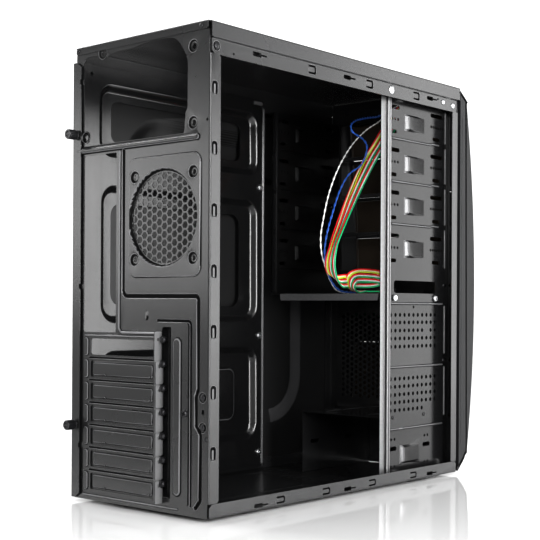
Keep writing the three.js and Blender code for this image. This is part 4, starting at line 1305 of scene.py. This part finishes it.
def cage():
    k = Fold([(258, 12), (265.4, 12), (266.9, 9.2), (272.2, 9.2), (274.2, 12), (381, 12)], [0, 0.6, 1.2, 1.6, 1.2, 0], 4, ref=(320, 12), value=320)
    out = [(k.lo, 9), (381, 9), (381, 387), (k.lo, 387)]
    holes = bay_holes(k)
    holes.append(rounded(281.4, 358, 190.6, 203.4, 3, 5))
    for v in (168.3, 160.6, 152.4, 144.3, 136):
        holes += [circle(276.4 + 8.1 * i, v, 2.0, 14) for i in range(11) if not (v == 152.4 and i == 8)]
    for v in (103.3, 95.3, 87.1, 79.3, 71.3):
        holes += [circle(276.4 + 8.1 * i, v, 2.0, 14) for i in range(11 if v != 71.3 else 8)]
    holes += [circle(317, 176.4, 1.4, 12)]
    for v in (42, 14.6):
        holes += [circle(w, v, 1.5, 12) for w in (278, 284, 338.6, 344.3)]
    holes += [slot_hole(275, 287.6, 32.7, 4.4), slot_hole(335, 348.6, 32.7, 4.4)]
    feats = [Wedge(298.5, 304, 336, a, b, 3.0) for a, b in ((357, 374), (314, 332), (271, 289), (227, 245))]
    feats += [Wedge(293, 298, 329, 16.4, 35, 2.6)]
    feats += [Bead([(277, v), (346, v), (349, v + 1), (362, v + 1)], 1.6, 1.2, 0.2) for v in (347.4, 303.9, 260.7)]
    feats += [Bead([(276, v), (371, v)], 1.6, 1.2, 0.2) for v in (180, 115.3, 52.4)]
    mid = k.A(269.55, 9.2)
    feats += [Bead([(mid, 9), (mid, 387)], 0.9, -1.1, 0.25)]
    feats += [Bead([(374.6, a), (374.6, b)], 2.4, 1.6, 0.4) for a, b in ((352, 384), (309, 345), (265, 302), (219, 258), (128, 177), (62, 112))]
    m = sheet_mesh(lambda a, b, z: ((pq := k.point(a, z))[1], pq[0], b), out, holes, feats, 1.0, cuts_a=k.cuts)
    o = build("cage_sheet_near", m, "inner", INNER, ["cage_wall_left"])
    paint(o, "cage_face", lambda u, w, v, n: n.x < -0.9 and w > 274, True)
    # Painted highlight: three light strips on the rolled strip at the cage's rear edge, with dark gaps between.
    paint(o, "bright", lambda u, w, v, n: 259.5 < w < 265.6 or 266.6 < w < 269.0 or 270.1 < w < 273.6)

    far = Fold([(262, 158.2), (262, 160), (381, 160)], 0.8, 2, ref=(320, 160), value=320)
    holes = bay_holes(far)
    feats = [Wedge(300, 305, 337, a, b, 2.8) for a, b in ((357, 374), (314, 332), (271, 289), (227, 245))]
    feats += [Bead([(277, v), (362, v)], 1.3, -0.7) for v in (347.4, 303.9, 260.7, 217.4)]
    m = sheet_mesh(lambda a, b, z: (159 - z, a, b), [(262, 190.5), (381, 190.5), (381, 387), (262, 387)], holes, [Bead([(266.5, 193), (266.5, 384)], 2.2, 0.0, 0.3)] + feats, 1.0)
    flange = sheet_mesh(lambda a, b, z: (a, 262 - z, b), rounded(152, 159.6, 191.5, 386, 1, 3), [rounded(154, 157.4, v, v + 4, 0.8, 2) for v in (255, 298, 341)], [], 0.9)
    o = build("cage_sheet_far", merge(m, flange), "inner", INNER, ["cage_wall_right"])
    # Painted shade: the far wall's faces towards the open side take the darkest finish.
    paint(o, "inner_painted_deep_shade", lambda u, w, v, n: n.x < -0.6)

    sh = Fold([(381, 190), (256, 190), (256, 182.8)], 1.5, 4, ref=(300, 190), value=-300)
    out = [(sh.lo, 13.4), (sh.A(256, 187), 13.4), (sh.hi, 14.5), (sh.hi, 141), (sh.A(256, 187), 142), (-257.5, 142), (-258.5, 160), (sh.lo, 160)]
    holes = [slot_hole(-350, -325, u, 5) for u in (40, 100, 130)] + [slot_hole(-300, -280, u, 5) for u in (40, 100, 130)]
    feats = [Bead([(-365, 26), (-275, 26)], 3, 0.9), Bead([(-365, 148), (-275, 148)], 3, 0.9)]
    m = sheet_mesh(lambda a, b, z: (b, *sh.point(a, z)), out, holes, feats, 0.9, cuts_a=sh.cuts)
    o = build("cage_shelf_sheet", m, "inner", INNER, ["cage_floor"])
    # Painted highlight on the shelf's rear flange.
    paint(o, "inner_painted_crest_highlight", lambda u, w, v, n: w < 257.4 and n.y > 0.5)

    lo = Fold([(115, 1.5), (115, 66), (13.4, 66)], 1.6, 4, ref=(60, 66), value=-60)
    out = [(lo.lo, 262), (-112.6, 262), (-111, 259.2), (lo.hi, 259.2), (lo.hi, 381), (lo.lo, 381)]
    holes = [slot_hole(lo.A(115, 46), lo.A(115, 46) + 4, w, 4) for w in (284, 340)]
    holes += [swap(slot_hole(275, 290, lo.A(115, 33), 4.4)), swap(slot_hole(335, 349, lo.A(115, 33), 4.4))]
    feats = [Bead([(-90, 275), (-90, 365)], 3, 0.9), Bead([(-36, 275), (-36, 365)], 3, 0.9)]
    m = sheet_mesh(lambda a, b, z: ((pq := lo.point(a, z))[0], b, pq[1]), out, holes[2:], feats, 0.9, cuts_a=lo.cuts)
    build("lower_cage_sheet", m, "inner", INNER, ["hdd_cage"])


BAYS = [346.5, 303.1, 259.7, 216.3]


def front_wall():
    fold = Fold([(171.3, 371), (171.3, 382.6), (0, 382.6), (0, 371)], 1.5, 4, ref=(85, 382.6), value=-85)
    out = [(fold.lo, 13.5), (fold.lo + 1.5, 12.3), (-170, 12.3), (-169.4, 1.6), (-3.4, 1.6), (-1.3, 12.3), (fold.hi - 1.5, 12.3), (fold.hi, 13.5), (fold.hi, 383.5),
           (fold.hi - 1.5, 384.7), (-1.3, 384.7), (-3.4, 410.4), (-169.4, 410.4), (-170, 384.7), (fold.lo + 1.5, 384.7), (fold.lo, 383.5)]
    holes = [rounded(-158, -15, b + 2, b + (41 if i else 39), 2.5, 4) for i, b in enumerate(BAYS)]
    holes += [rounded(-92, -48, 389, 404.5, 3, 4)]
    for i in range(18):
        for j in range(17):
            c = (-152 + i * 6.1, 75 + j * 6.0 + (3 if i % 2 else 0))
            if c[0] < -46 and c[1] < 171:
                holes.append(circle(*c, 2.1, 10))
    holes += [circle(-162, v, 1.6, 12) for v in (60, 120, 200, 300)] + [circle(-9, v, 1.6, 12) for v in (60, 120, 200, 300)]
    feats = [Bead([(-160, 182), (-14, 182)], 2.6, -0.8), Bead([(-160, 62), (-14, 62)], 2.6, -0.8)]
    m = sheet_mesh(lambda a, b, z: (*fold.point(a, z), b), out, holes, feats, 1.0, cuts_a=fold.cuts)
    build("front_sheet", m, "inner", INNER, ["front_wall"])


def side_panel():
    fold = Fold([(161.5, -2.3), (172.8, -2.3), (172.8, 385)], 1.3, 4, ref=(172.8, 200), value=200)
    f0 = fold.A(161.5, -2.3)
    out = smooth_loop([(fold.lo, 0.8), (384.8, 0.8), (384.8, 398), (fold.lo, 398)], [1, 3, 3, 1], 3)
    holes = [rounded(fold.lo - 2, fold.lo + 1.6, v - 2.2, v + 2.2, 0.6, 2) for v in (380, 193.6, 48.6)]
    # notches open to the edge
    edge = [(fold.lo, 0.8)]
    out = [(fold.A(168, -2.3), 0.8), (384.8, 0.8), (384.8, 398), (fold.A(168, -2.3), 398), (fold.lo, 394)]
    for v in (380, 193.6, 48.6):
        out += [(fold.lo, v + 2.4), (fold.lo + 1.7, v + 2.0), (fold.lo + 1.7, v - 2.0), (fold.lo, v - 2.4)]
    out += [(fold.lo, 5)]
    a_screw = fold.A(168, -2.3)
    holes = [circle(a_screw, v, 2.4, 16) for v in (332, 67)]
    feats = [Field(58, 328, 48, 362, 52, 3.0, 17, 12, (0, 0.08, 0.2, 0.35, 0.5, 0.65, 0.8, 0.92, 1))]
    feats += [Dish(a_screw, v, 4.2, -0.4, 1.0, 20, (0, 0.5, 1)) for v in (332, 67)]
    feats[0].quiet = True
    m = sheet_mesh(lambda a, b, z: (*fold.point(a, z), b), out, holes, feats, 1.0, cuts_a=fold.cuts)
    o = build("side_sheet", m, "shell", STEEL, ["side_panel_right"], "side_panel")
    paint(o, "panel_inside", lambda u, w, v, n: n.x < -0.6 and 6 < w < 380)
    # Painted shade on the panel's inside near the top rear, seen through the power supply opening.
    paint(o, "inner_painted_deep_shade", lambda u, w, v, n: n.x < -0.6 and 6 < w < 200 and v > 318)
    # Painted highlight on the slope of the pressed field at the lower front.
    paint(o, "panel_painted_highlight", lambda u, w, v, n: -0.9985 < n.x < -0.5 and 250 < w < 331 and v < 250 and u > 166)


for make in (rear_panel, slot_covers, top_cover, chassis_floor, tray, cage, front_wall, side_panel):
    make()


# ---------------------------------------------------------------- plastic front
def face(v):
    return 419.4 - 16 * ((np.asarray(v, float) - 196) / 192) ** 2


def bezel():
    vs = np.linspace(397, 18, 40)
    line = [(387, 410.8), (398.6, 402.9), (402.2, 400.2), (403.7, 398.6)]
    line += [(float(face(v)), float(v)) for v in vs]
    line += [(401.6, 15.5), (400.2, 12.6), (397, 9.4), (387, 0.6)]
    line = line[::-1]
    fold = Fold(line, 0, 1, ref=(float(face(216)), 216), value=0.0)
    A = lambda v: fold.A(float(face(v)), v)
    sign = 1 if A(100) > A(200) else -1
    W, roll = 172.8, 2.4
    holes = []

    def hole(loop):
        """A hole given in (u, v), cut through the face."""
        holes.append(np.array([(A(v), u) for u, v in loop]))

    for b in BAYS:
        hole(rounded(13, 159.8, b + 1.2, b + 41, 2.0, 4))
    hole(rounded(13, 159.8, 20, 136, 6, 6))
    hole(circle(104, 180, 9.4, 40))
    hole(circle(141, 180, 3.9, 24))
    for u in (122, 129.5):
        hole(circle(u, 180, 2.15, 18))
    for u in (30, 50):
        hole(rounded(u - 7.2, u + 7.2, 176.6, 183.4, 0.8, 3))
    for u in (67, 79):
        hole(circle(u, 180, 3.9, 24))

    class Mapped:
        """A feature in (u, v) carried onto the face."""

        def __init__(self, f):
            self.f = f

        def loops(self):
            for l in self.f.loops():
                yield np.array([(A(v), u) for u, v in l])

        def z(self, p):
            v = np.interp(p[:, 0] + fold.k, fold.a, fold.pts[:, 1])
            return self.f.z(np.column_stack([p[:, 1], v]))

    feats = [Mapped(Field(20, 152, 167.5, 193, 12, -1.3, 2.0, 8, (0, 0.25, 0.5, 0.75, 1))), Mapped(Dish(104, 180, 12.2, 0.9, 1.4, 44, (0, 0.5, 1))),
             Mapped(Dish(141, 180, 5.6, 0.5, 1.0, 28, (0, 0.5, 1)))]
    lo, hi = fold.lo, fold.hi
    grow = [0.0, 0.25, 0.7, 1.4, roll]
    rows = [x for x in grow] + [W - x for x in grow]

    def edge(p):
        d = np.clip(np.minimum(p[:, 1], W - p[:, 1]) / roll, 0, 1)
        return -roll * (1 - np.sqrt(np.clip(1 - (1 - d) ** 2, 0, 1)))

    outline = [(lo, 0), (hi, 0), (hi, W), (lo, W)]
    skin = sheet_mesh(lambda a, b, z: (b, *fold.point(a, z)), outline, holes, feats, 2.4, cuts_a=fold.cuts, cuts_b=rows, extra=edge)
    inset = Fold(line, 0, 1)
    p, q = inset.at(inset.a, -(roll + 0.0))
    ring = np.column_stack([p, q])
    ring = ring[(ring[:, 0] > 387.05)]
    ring = np.vstack([[387, 2.8], ring, [387, 408.6]])
    cheek = lambda u, s: sheet_mesh(lambda a, b, z: (u + s * z, a, b), ring, [], [Bead([(390.2, 30), (390.2, 380)], 0.9, -0.35, 0.2)], 2.3)
    ribs = [solid_box(3.0, 4.4, 383.0, 390, 8, 404, 0.3, 1), solid_box(W - 4.4, W - 3.0, 383.0, 390, 8, 404, 0.3, 1),
            solid_box(4, W - 4, 383.0, 390, 404, 405.4, 0.3, 1), solid_box(4, W - 4, 383.0, 390, 6.6, 8, 0.3, 1)]
    v, f = merge(skin, cheek(0.0, -1), cheek(W, 1), *ribs)
    o = obj("front_shell", v, f, "bezel", smooth=28)
    stand_for(o, "bezel_plastic", "front_bezel")


def mesh_panel(name, node, v0, v1, thick, back, corner):
    """A perforated sheet that follows the curved face inside a plain rim, with its folded edge."""
    u0, u1 = 13.6, 159.2
    holes = []
    pitch, flat = 4.2, 3.3
    du = pitch * math.sqrt(3) / 2
    nu, nv = int((u1 - u0 - 9) / du), int((v1 - v0 - 7) / pitch)
    ou, ov = (u0 + u1) / 2 - (nu - 1) * du / 2, (v0 + v1) / 2 - (nv - 1) * pitch / 2
    for i in range(nu):
        for j in range(nv - (i % 2)):
            holes.append(hexagon(ou + i * du, ov + j * pitch + (pitch / 2 if i % 2 else 0), flat))
    top = float(1.2)
    rim = Field(u0, u1, v0, v1, corner, 0.0, 1.0)
    out = rounded(u0, u1, v0, v1, corner, 4)

    def edge(p):
        a = np.abs(p - np.array([(u0 + u1) / 2, (v0 + v1) / 2])) - np.array([(u1 - u0) / 2, (v1 - v0) / 2])
        d = np.clip(-a.max(1) / 1.6, 0, 1)
        return -1.5 * (1 - np.sqrt(np.clip(1 - (1 - d) ** 2, 0, 1)))

    class Rim:
        def loops(self):
            for t in (0.3, 0.8, 1.6):
                yield rounded(u0 + t, u1 - t, v0 + t, v1 - t, max(corner - t, 0.3), 4)

        def z(self, p):
            return edge(p)

    m = sheet_mesh(lambda a, b, z: (a, face(b) - top + z, b), out, holes, [Rim()], 0.9)
    bars = []
    if back:
        for u in (u0 + 1.0, u1 - 3.2):
            bars.append(solid_box(u, u + 2.2, float(face((v0 + v1) / 2)) - 4.0, float(face((v0 + v1) / 2)) - 2.6, v0 + 1, v1 - 1, 0.3, 1))
    v, f = merge(m, *bars)
    o = obj(name, v, f, "mesh", smooth=30)
    stand_for(o, "mesh_black", node)
    bs = list(np.linspace(v0 + 1.2, v1 - 1.2, 14 if v1 - v0 > 60 else 6))
    foam = sheet_mesh(lambda a, b, z: (a, face(b) - 2.3 + z, b), rounded(u0 + 3.4, u1 - 3.4, v0 + 1.2, v1 - 1.2, 1.2, 3), [], [], 1.6 if back else 1.0, cuts_b=bs)
    o = obj(name + "_filter", *foam, "foam", smooth=50)
    stand_for(o, "mesh_black")


def front_parts():
    for i, b in enumerate(BAYS, 1):
        mesh_panel(f"bay_mesh_{i}", f"bay_cover_{i}", b + 1.6, b + 40.6, 0.9, True, 1.6)
    mesh_panel("grille_mesh", "front_grille", 20.4, 135.6, 0.9, True, 5.6)

    # buttons: crowned caps with a finger dish and a flange behind
    prof = [(0, 404.6), (10.4, 404.6), (10.6, 404.9), (10.6, 406.2), (10.3, 406.5), (9.0, 406.6), (9.0, 418.7), (8.75, 419.7), (8.1, 420.3), (7.2, 420.4), (6.0, 420.15), (4.2, 419.8), (2.2, 419.6), (0, 419.5)]
    bx = {n: [np.array(c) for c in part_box(n)] for n in ("power_button", "reset_button")}

    def cap(name, node, prof, body):
        lo, hi = bx[node]
        u, v = (lo[0] + hi[0]) / 2 * 1000 + U_MID, (lo[2] + hi[2]) / 2 * 1000 - FOOT
        w0, w1 = W_MID - hi[1] * 1000, W_MID - lo[1] * 1000
        h0, h1 = prof[0][1], max(h for _, h in prof)
        prof = [(r, w0 + (h - h0) * (w1 - w0) / (h1 - h0)) for r, h in prof]
        o = obj(name, *aim(*lathe(prof, 48), (u, 0, v), "w"), "button", body, smooth=30)
        stand_for(o, SLOT_OF[node], node)

    cap("power_cap", "power_button", prof, "power_button")
    small = [(0, 0), (4.4, 0), (4.6, 0.3), (4.6, 1.4), (4.3, 1.7), (3.5, 1.8), (3.5, 14.4), (3.3, 15.0), (2.7, 15.4), (1.9, 15.4), (1.0, 15.2), (0, 15.15)]
    lo, hi = bx["reset_button"]
    wide = (hi[0] - lo[0]) * 500
    small = [(min(r, wide) if r > 3.5 else r, h) for r, h in small]
    cap("reset_cap", "reset_button", small, "reset_button")
    for node, mat in (("power_led_lens", "lens_a"), ("drive_led_lens", "lens_b")):
        lo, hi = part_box(node)
        u, v = (lo[0] + hi[0]) * 500 + U_MID, (lo[2] + hi[2]) * 500 - FOOT
        w0, w1 = W_MID - hi[1] * 1000, W_MID - lo[1] * 1000
        r = (hi[0] - lo[0]) * 500
        o = obj(node + "_dome", *aim(*lathe([(0, w0), (r, w0), (r, w0 + 1.2), (r * 0.8, w0 + 1.6), (r * 0.8, w1 - 1.5), (r * 0.72, w1 - 0.8), (r * 0.5, w1 - 0.25), (0, w1)], 24), (u, 0, v), "w"), mat, smooth=40)
        stand_for(o, SLOT_OF[node], node)


def box_of(node):
    lo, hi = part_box(node)
    return (lo[0] * 1000 + U_MID, hi[0] * 1000 + U_MID, W_MID - hi[1] * 1000, W_MID - lo[1] * 1000, lo[2] * 1000 - FOOT, hi[2] * 1000 - FOOT)


def board():
    parts = [sheet_mesh(lambda a, b, z: (a, 399.0 - z, b), rounded(15.2, 155.8, 165.2, 194.8, 2, 4), [circle(20, 169, 1.7, 14), circle(151, 169, 1.7, 14)], [], 1.5)]
    parts.append(solid_box(51.6, 83.9, 392.0, 399.0, 184.2, 189.2, 0.3))
    for i in range(12):
        for j in (0, 1):
            u, v = 53.2 + i * 2.54, 185.4 + j * 2.54
            parts.append(solid_box(u - 0.3, u + 0.3, 390.2, 392.3, v - 0.3, v + 0.3, 0.08, 1))
    for u, v in ((90, 172), (112, 190), (132, 172), (24, 186), (40, 188), (98, 187), (146, 187)):
        parts.append(solid_box(u - 1.6, u + 1.6, 397.9, 399.0, v - 0.8, v + 0.8, 0.15, 1))
    for u, v in ((60, 172), (118, 174)):
        parts.append(aim(*lathe([(0, 0), (2.4, 0), (2.5, 0.4), (2.3, 0.8), (2.5, 1.1), (2.5, 4.6), (2.2, 5), (0, 5)], 24), (u, 399, v), "-w"))
    for c in (104, 141):
        parts.append(solid_box(c - 3.6, c + 3.6, 400.5, 401.9, 176.4, 183.6, 0.3))
    o = obj("control_circuit", *merge(*parts), "board", smooth=30)
    stand_for(o, "circuit_board", "control_board")
    for i in (1, 2):
        u0, u1, w0, w1, v0, v1 = box_of(f"usb_socket_{i}")
        shell = []
        out = rounded(u0, u1, v0, v1, 0.9, 3)
        hole = rounded(u0 + 0.6, u1 - 0.6, v0 + 0.6, v1 - 0.6, 0.5, 3)
        shell.append(sheet_mesh(lambda a, b, z: (a, w1 - 0.2 + z, b), out, [hole], [], w1 - w0 - 0.4))
        shell.append(solid_box(u0 + 0.3, u1 - 0.3, w0, w0 + 1.2, v0 + 0.3, v1 - 0.3, 0.2, 1))
        vm = (v0 + v1) / 2
        shell.append(solid_box(u0 + 1.4, u1 - 1.4, w0 + 1, w1 - 1.6, vm + 0.1, min(vm + 1.9, v1 - 0.7), 0.2, 1))
        for k in range(4):
            c = u0 + (u1 - u0) * (0.2 + 0.2 * k)
            shell.append(solid_box(c - 0.5, c + 0.5, w1 - 7, w1 - 2.2, vm - 0.1, vm + 0.15, 0.06, 1))
        o = obj(f"usb_shell_{i}", *merge(*shell), "socket", smooth=30)
        stand_for(o, "socket_shell", f"usb_socket_{i}")
        u0, u1, w0, w1, v0, v1 = box_of(f"audio_jack_{i}")
        c, v, r = (u0 + u1) / 2, (v0 + v1) / 2, min(u1 - u0, v1 - v0) / 2
        prof = [(0, w0), (r, w0), (r, w1 - 2.2), (r * 0.96, w1 - 1.9), (r * 0.96, w1 - 0.4), (r * 0.9, w1), (1.95, w1), (1.75, w1 - 0.4), (1.75, w0 + 2), (0, w0 + 2)]
        o = obj(f"jack_body_{i}", *aim(*lathe(prof, 32), (c, 0, v), "w"), "jack", smooth=35)
        stand_for(o, "socket_plastic", f"audio_jack_{i}")


# ---------------------------------------------------------------- screws, rivets and feet
def knurled(r, w0, w1, n=48):
    """A knurled drum between two chamfers, along +z from w0 (outer end) to w1."""
    prof = [(0, w0 + 0.7, 0), (r * 0.45, w0 + 0.7, 0), (r * 0.55, w0, 0), (r * 0.86, w0, 0), (r * 0.97, w0 + 0.5, 0), (r, w0 + 1.0, 1), (r, w1 - 1.8, 1), (r * 0.93, w1 - 1.4, 0), (r * 0.93, w1 - 0.6, 0), (r * 0.98, w1 - 0.3, 0), (r * 0.98, w1, 0), (0, w1, 0)]
    v, f = lathe([(a, h) for a, h, _ in prof], n)
    k = 0
    for a, h, ridged in prof:
        m = 1 if a < 1e-6 else n
        if ridged:
            for i in range(m):
                if i % 2:
                    v[k + i, :2] *= 0.93
        k += m
    return v, f


def hardware():
    for node, body, name in (("thumbscrew_upper", "thumbscrew_top", "thumbscrew_a"), ("thumbscrew_lower", "thumbscrew_bottom", "thumbscrew_b")):
        u0, u1, w0, w1, v0, v1 = box_of(node)
        c, v = (u0 + u1) / 2, (v0 + v1) / 2
        head = aim(*knurled(4.5, -12.5, -2.9), (c, 0, v), "w")
        slot_ = solid_box(c - 3.0, c + 3.0, -12.45, -11.9, v - 0.5, v + 0.5, 0.1, 1)
        thread = [(0, -3.0), (1.9, -3.0)]
        h = -2.6
        while h < 3.4:
            thread += [(1.9, h), (1.6, h + 0.25)]
            h += 0.5
        thread += [(1.5, 3.6), (1.2, 4.0), (0, 4.0)]
        shank = aim(*lathe(thread, 20), (c, 0, v), "w")
        o = obj(name, *merge(head, slot_, shank), "blackscrew", body, smooth=30)
        stand_for(o, SLOT_OF[node], node)
    parts = [aim(*lathe([(0, 0), (3.4, 0), (3.4, 0.5), (3.0, 0.8), (2.75, 1.0), (2.75, 2.6), (2.3, 3.4), (1.4, 3.9), (0, 4.05)], 24), (54.0, -0.9, v), "-u") for v in SCREWS]
    o = obj("slot_screws", *merge(*parts), "blackscrew", smooth=40)
    stand_for(o, SLOT_OF["slot_screw_1"], *[f"slot_screw_{i}" for i in range(1, 8)])
    o = obj("cover_screw", *screw_at(3.2, 1.9, (26.4, -1.35, 85.7), "-w"), "blackscrew", smooth=35)
    stand_for(o, SLOT_OF["retention_screw"], "retention_screw")
    parts = []
    for node in ("tray_screw_1", "tray_screw_2", "tray_screw_3", "cage_screw_1", "cage_screw_2"):
        u0, u1, w0, w1, v0, v1 = box_of(node)
        parts.append(screw_at((w1 - w0) / 2, u1 - u0 - 0.05, (u1, (w0 + w1) / 2, (v0 + v1) / 2), "-u"))
    o = obj("pan_screws", *merge(*parts), "zinc", smooth=35)
    stand_for(o, SLOT_OF["tray_screw_1"], "tray_screw_1", "tray_screw_2", "tray_screw_3", "cage_screw_1", "cage_screw_2")

    bright, dull = [], []
    for w, v, r in ((261, 392.5, 4.4), (355, 393, 2.9), (374, 391.5, 3.3), (356.8, 4.6, 2.6), (376, 6.2, 3.0)):
        bright.append(aim(*pan_rivet(r, 1.45), (1.7 if v > 100 else 1.5, w, v), "-u"))
    for w, v, r, u in ((9.3, 392, 2.9, 1.7), (7.2, 7.4, 2.9, 1.2), (345, 394.6, 0.9, 1.7)):
        dull.append(aim(*pan_rivet(r, 0.0 + 1.1), (u, w, v), "-u"))
    for u, v, r, w in ((166.4, 408.4, 2.0, -1.3), (9.6, 408.0, 2.2, -1.3), (7, 100, 2.6, 0.0), (7, 75, 2.6, 0.0), (3.1, 65.7, 2.0, 0.0)):
        dull.append(aim(*pan_rivet(r, 1.2), (u, w, v), "-w"))
    for w, v in ((280.4, 64.3), (336.7, 64.3), (374, 200), (374, 120)):
        dull.append(aim(*pan_rivet(1.9, 1.0), (11.9, w, v), "-u"))
    for v in (30, 96, 142, 214, 286, 352):
        dull.append(aim(*pan_rivet(1.5, 0.7), (0.7, 376.6, v), "-u"))
    stand_for(obj("bright_rivets", *merge(*bright), "zinc", smooth=40), "zinc_screw")
    stand_for(obj("dark_rivets", *merge(*dull), "blackscrew", smooth=40), STEEL)
    for i, (u, w) in enumerate(((26, 40), (146, 40), (26, 345), (146, 345)), 1):
        prof = [(0, -3), (7.4, -3), (8.1, -2.8), (8.5, -2.3), (9.3, -1.2), (10, -0.9), (10, -0.3), (0, -0.3)]
        prof = [(0, -2.2), (3.2, -2.2), (3.6, -3), (7.6, -3), (8.2, -2.8), (8.6, -2.3), (9.4, -1.3), (10, -1.0), (10, -0.3), (0, -0.3)]
        o = obj(f"foot_pad_{i}", *aim(*lathe(prof, 36), (u, w, 0), "v"), "rubber", smooth=30)
        stand_for(o, SLOT_OF[f"foot_{i}"], f"foot_{i}")


SLOT_OF = {s["node"]: s["material_slot"] for s in frame["record"]["subparts"]}
for make in (bezel, front_parts, board, hardware):
    make()


# ---------------------------------------------------------------- what stays as the CAD made it
LOOK = {"steel_black": "shell", "inner_black": "inner", "bezel_plastic": "bezel", "mesh_black": "mesh", "zinc_screw": "zinc", "black_screw": "blackscrew",
        "foot_rubber": "rubber", "light_lens": "lens_a", "circuit_board": "board", "socket_shell": "socket", "socket_plastic": "jack",
        "ribbon_wire": "wire_red", "white_wire": "wire_white", "blue_wire": "wire_blue", "plug_plastic": "plug"}
SLOT_OF = {s["node"]: s["material_slot"] for s in frame["record"]["subparts"]}
for n, o in frame["nodes"].items():
    o.data.materials.clear()
    o.data.materials.append(M[LOOK[SLOT_OF[n]]])
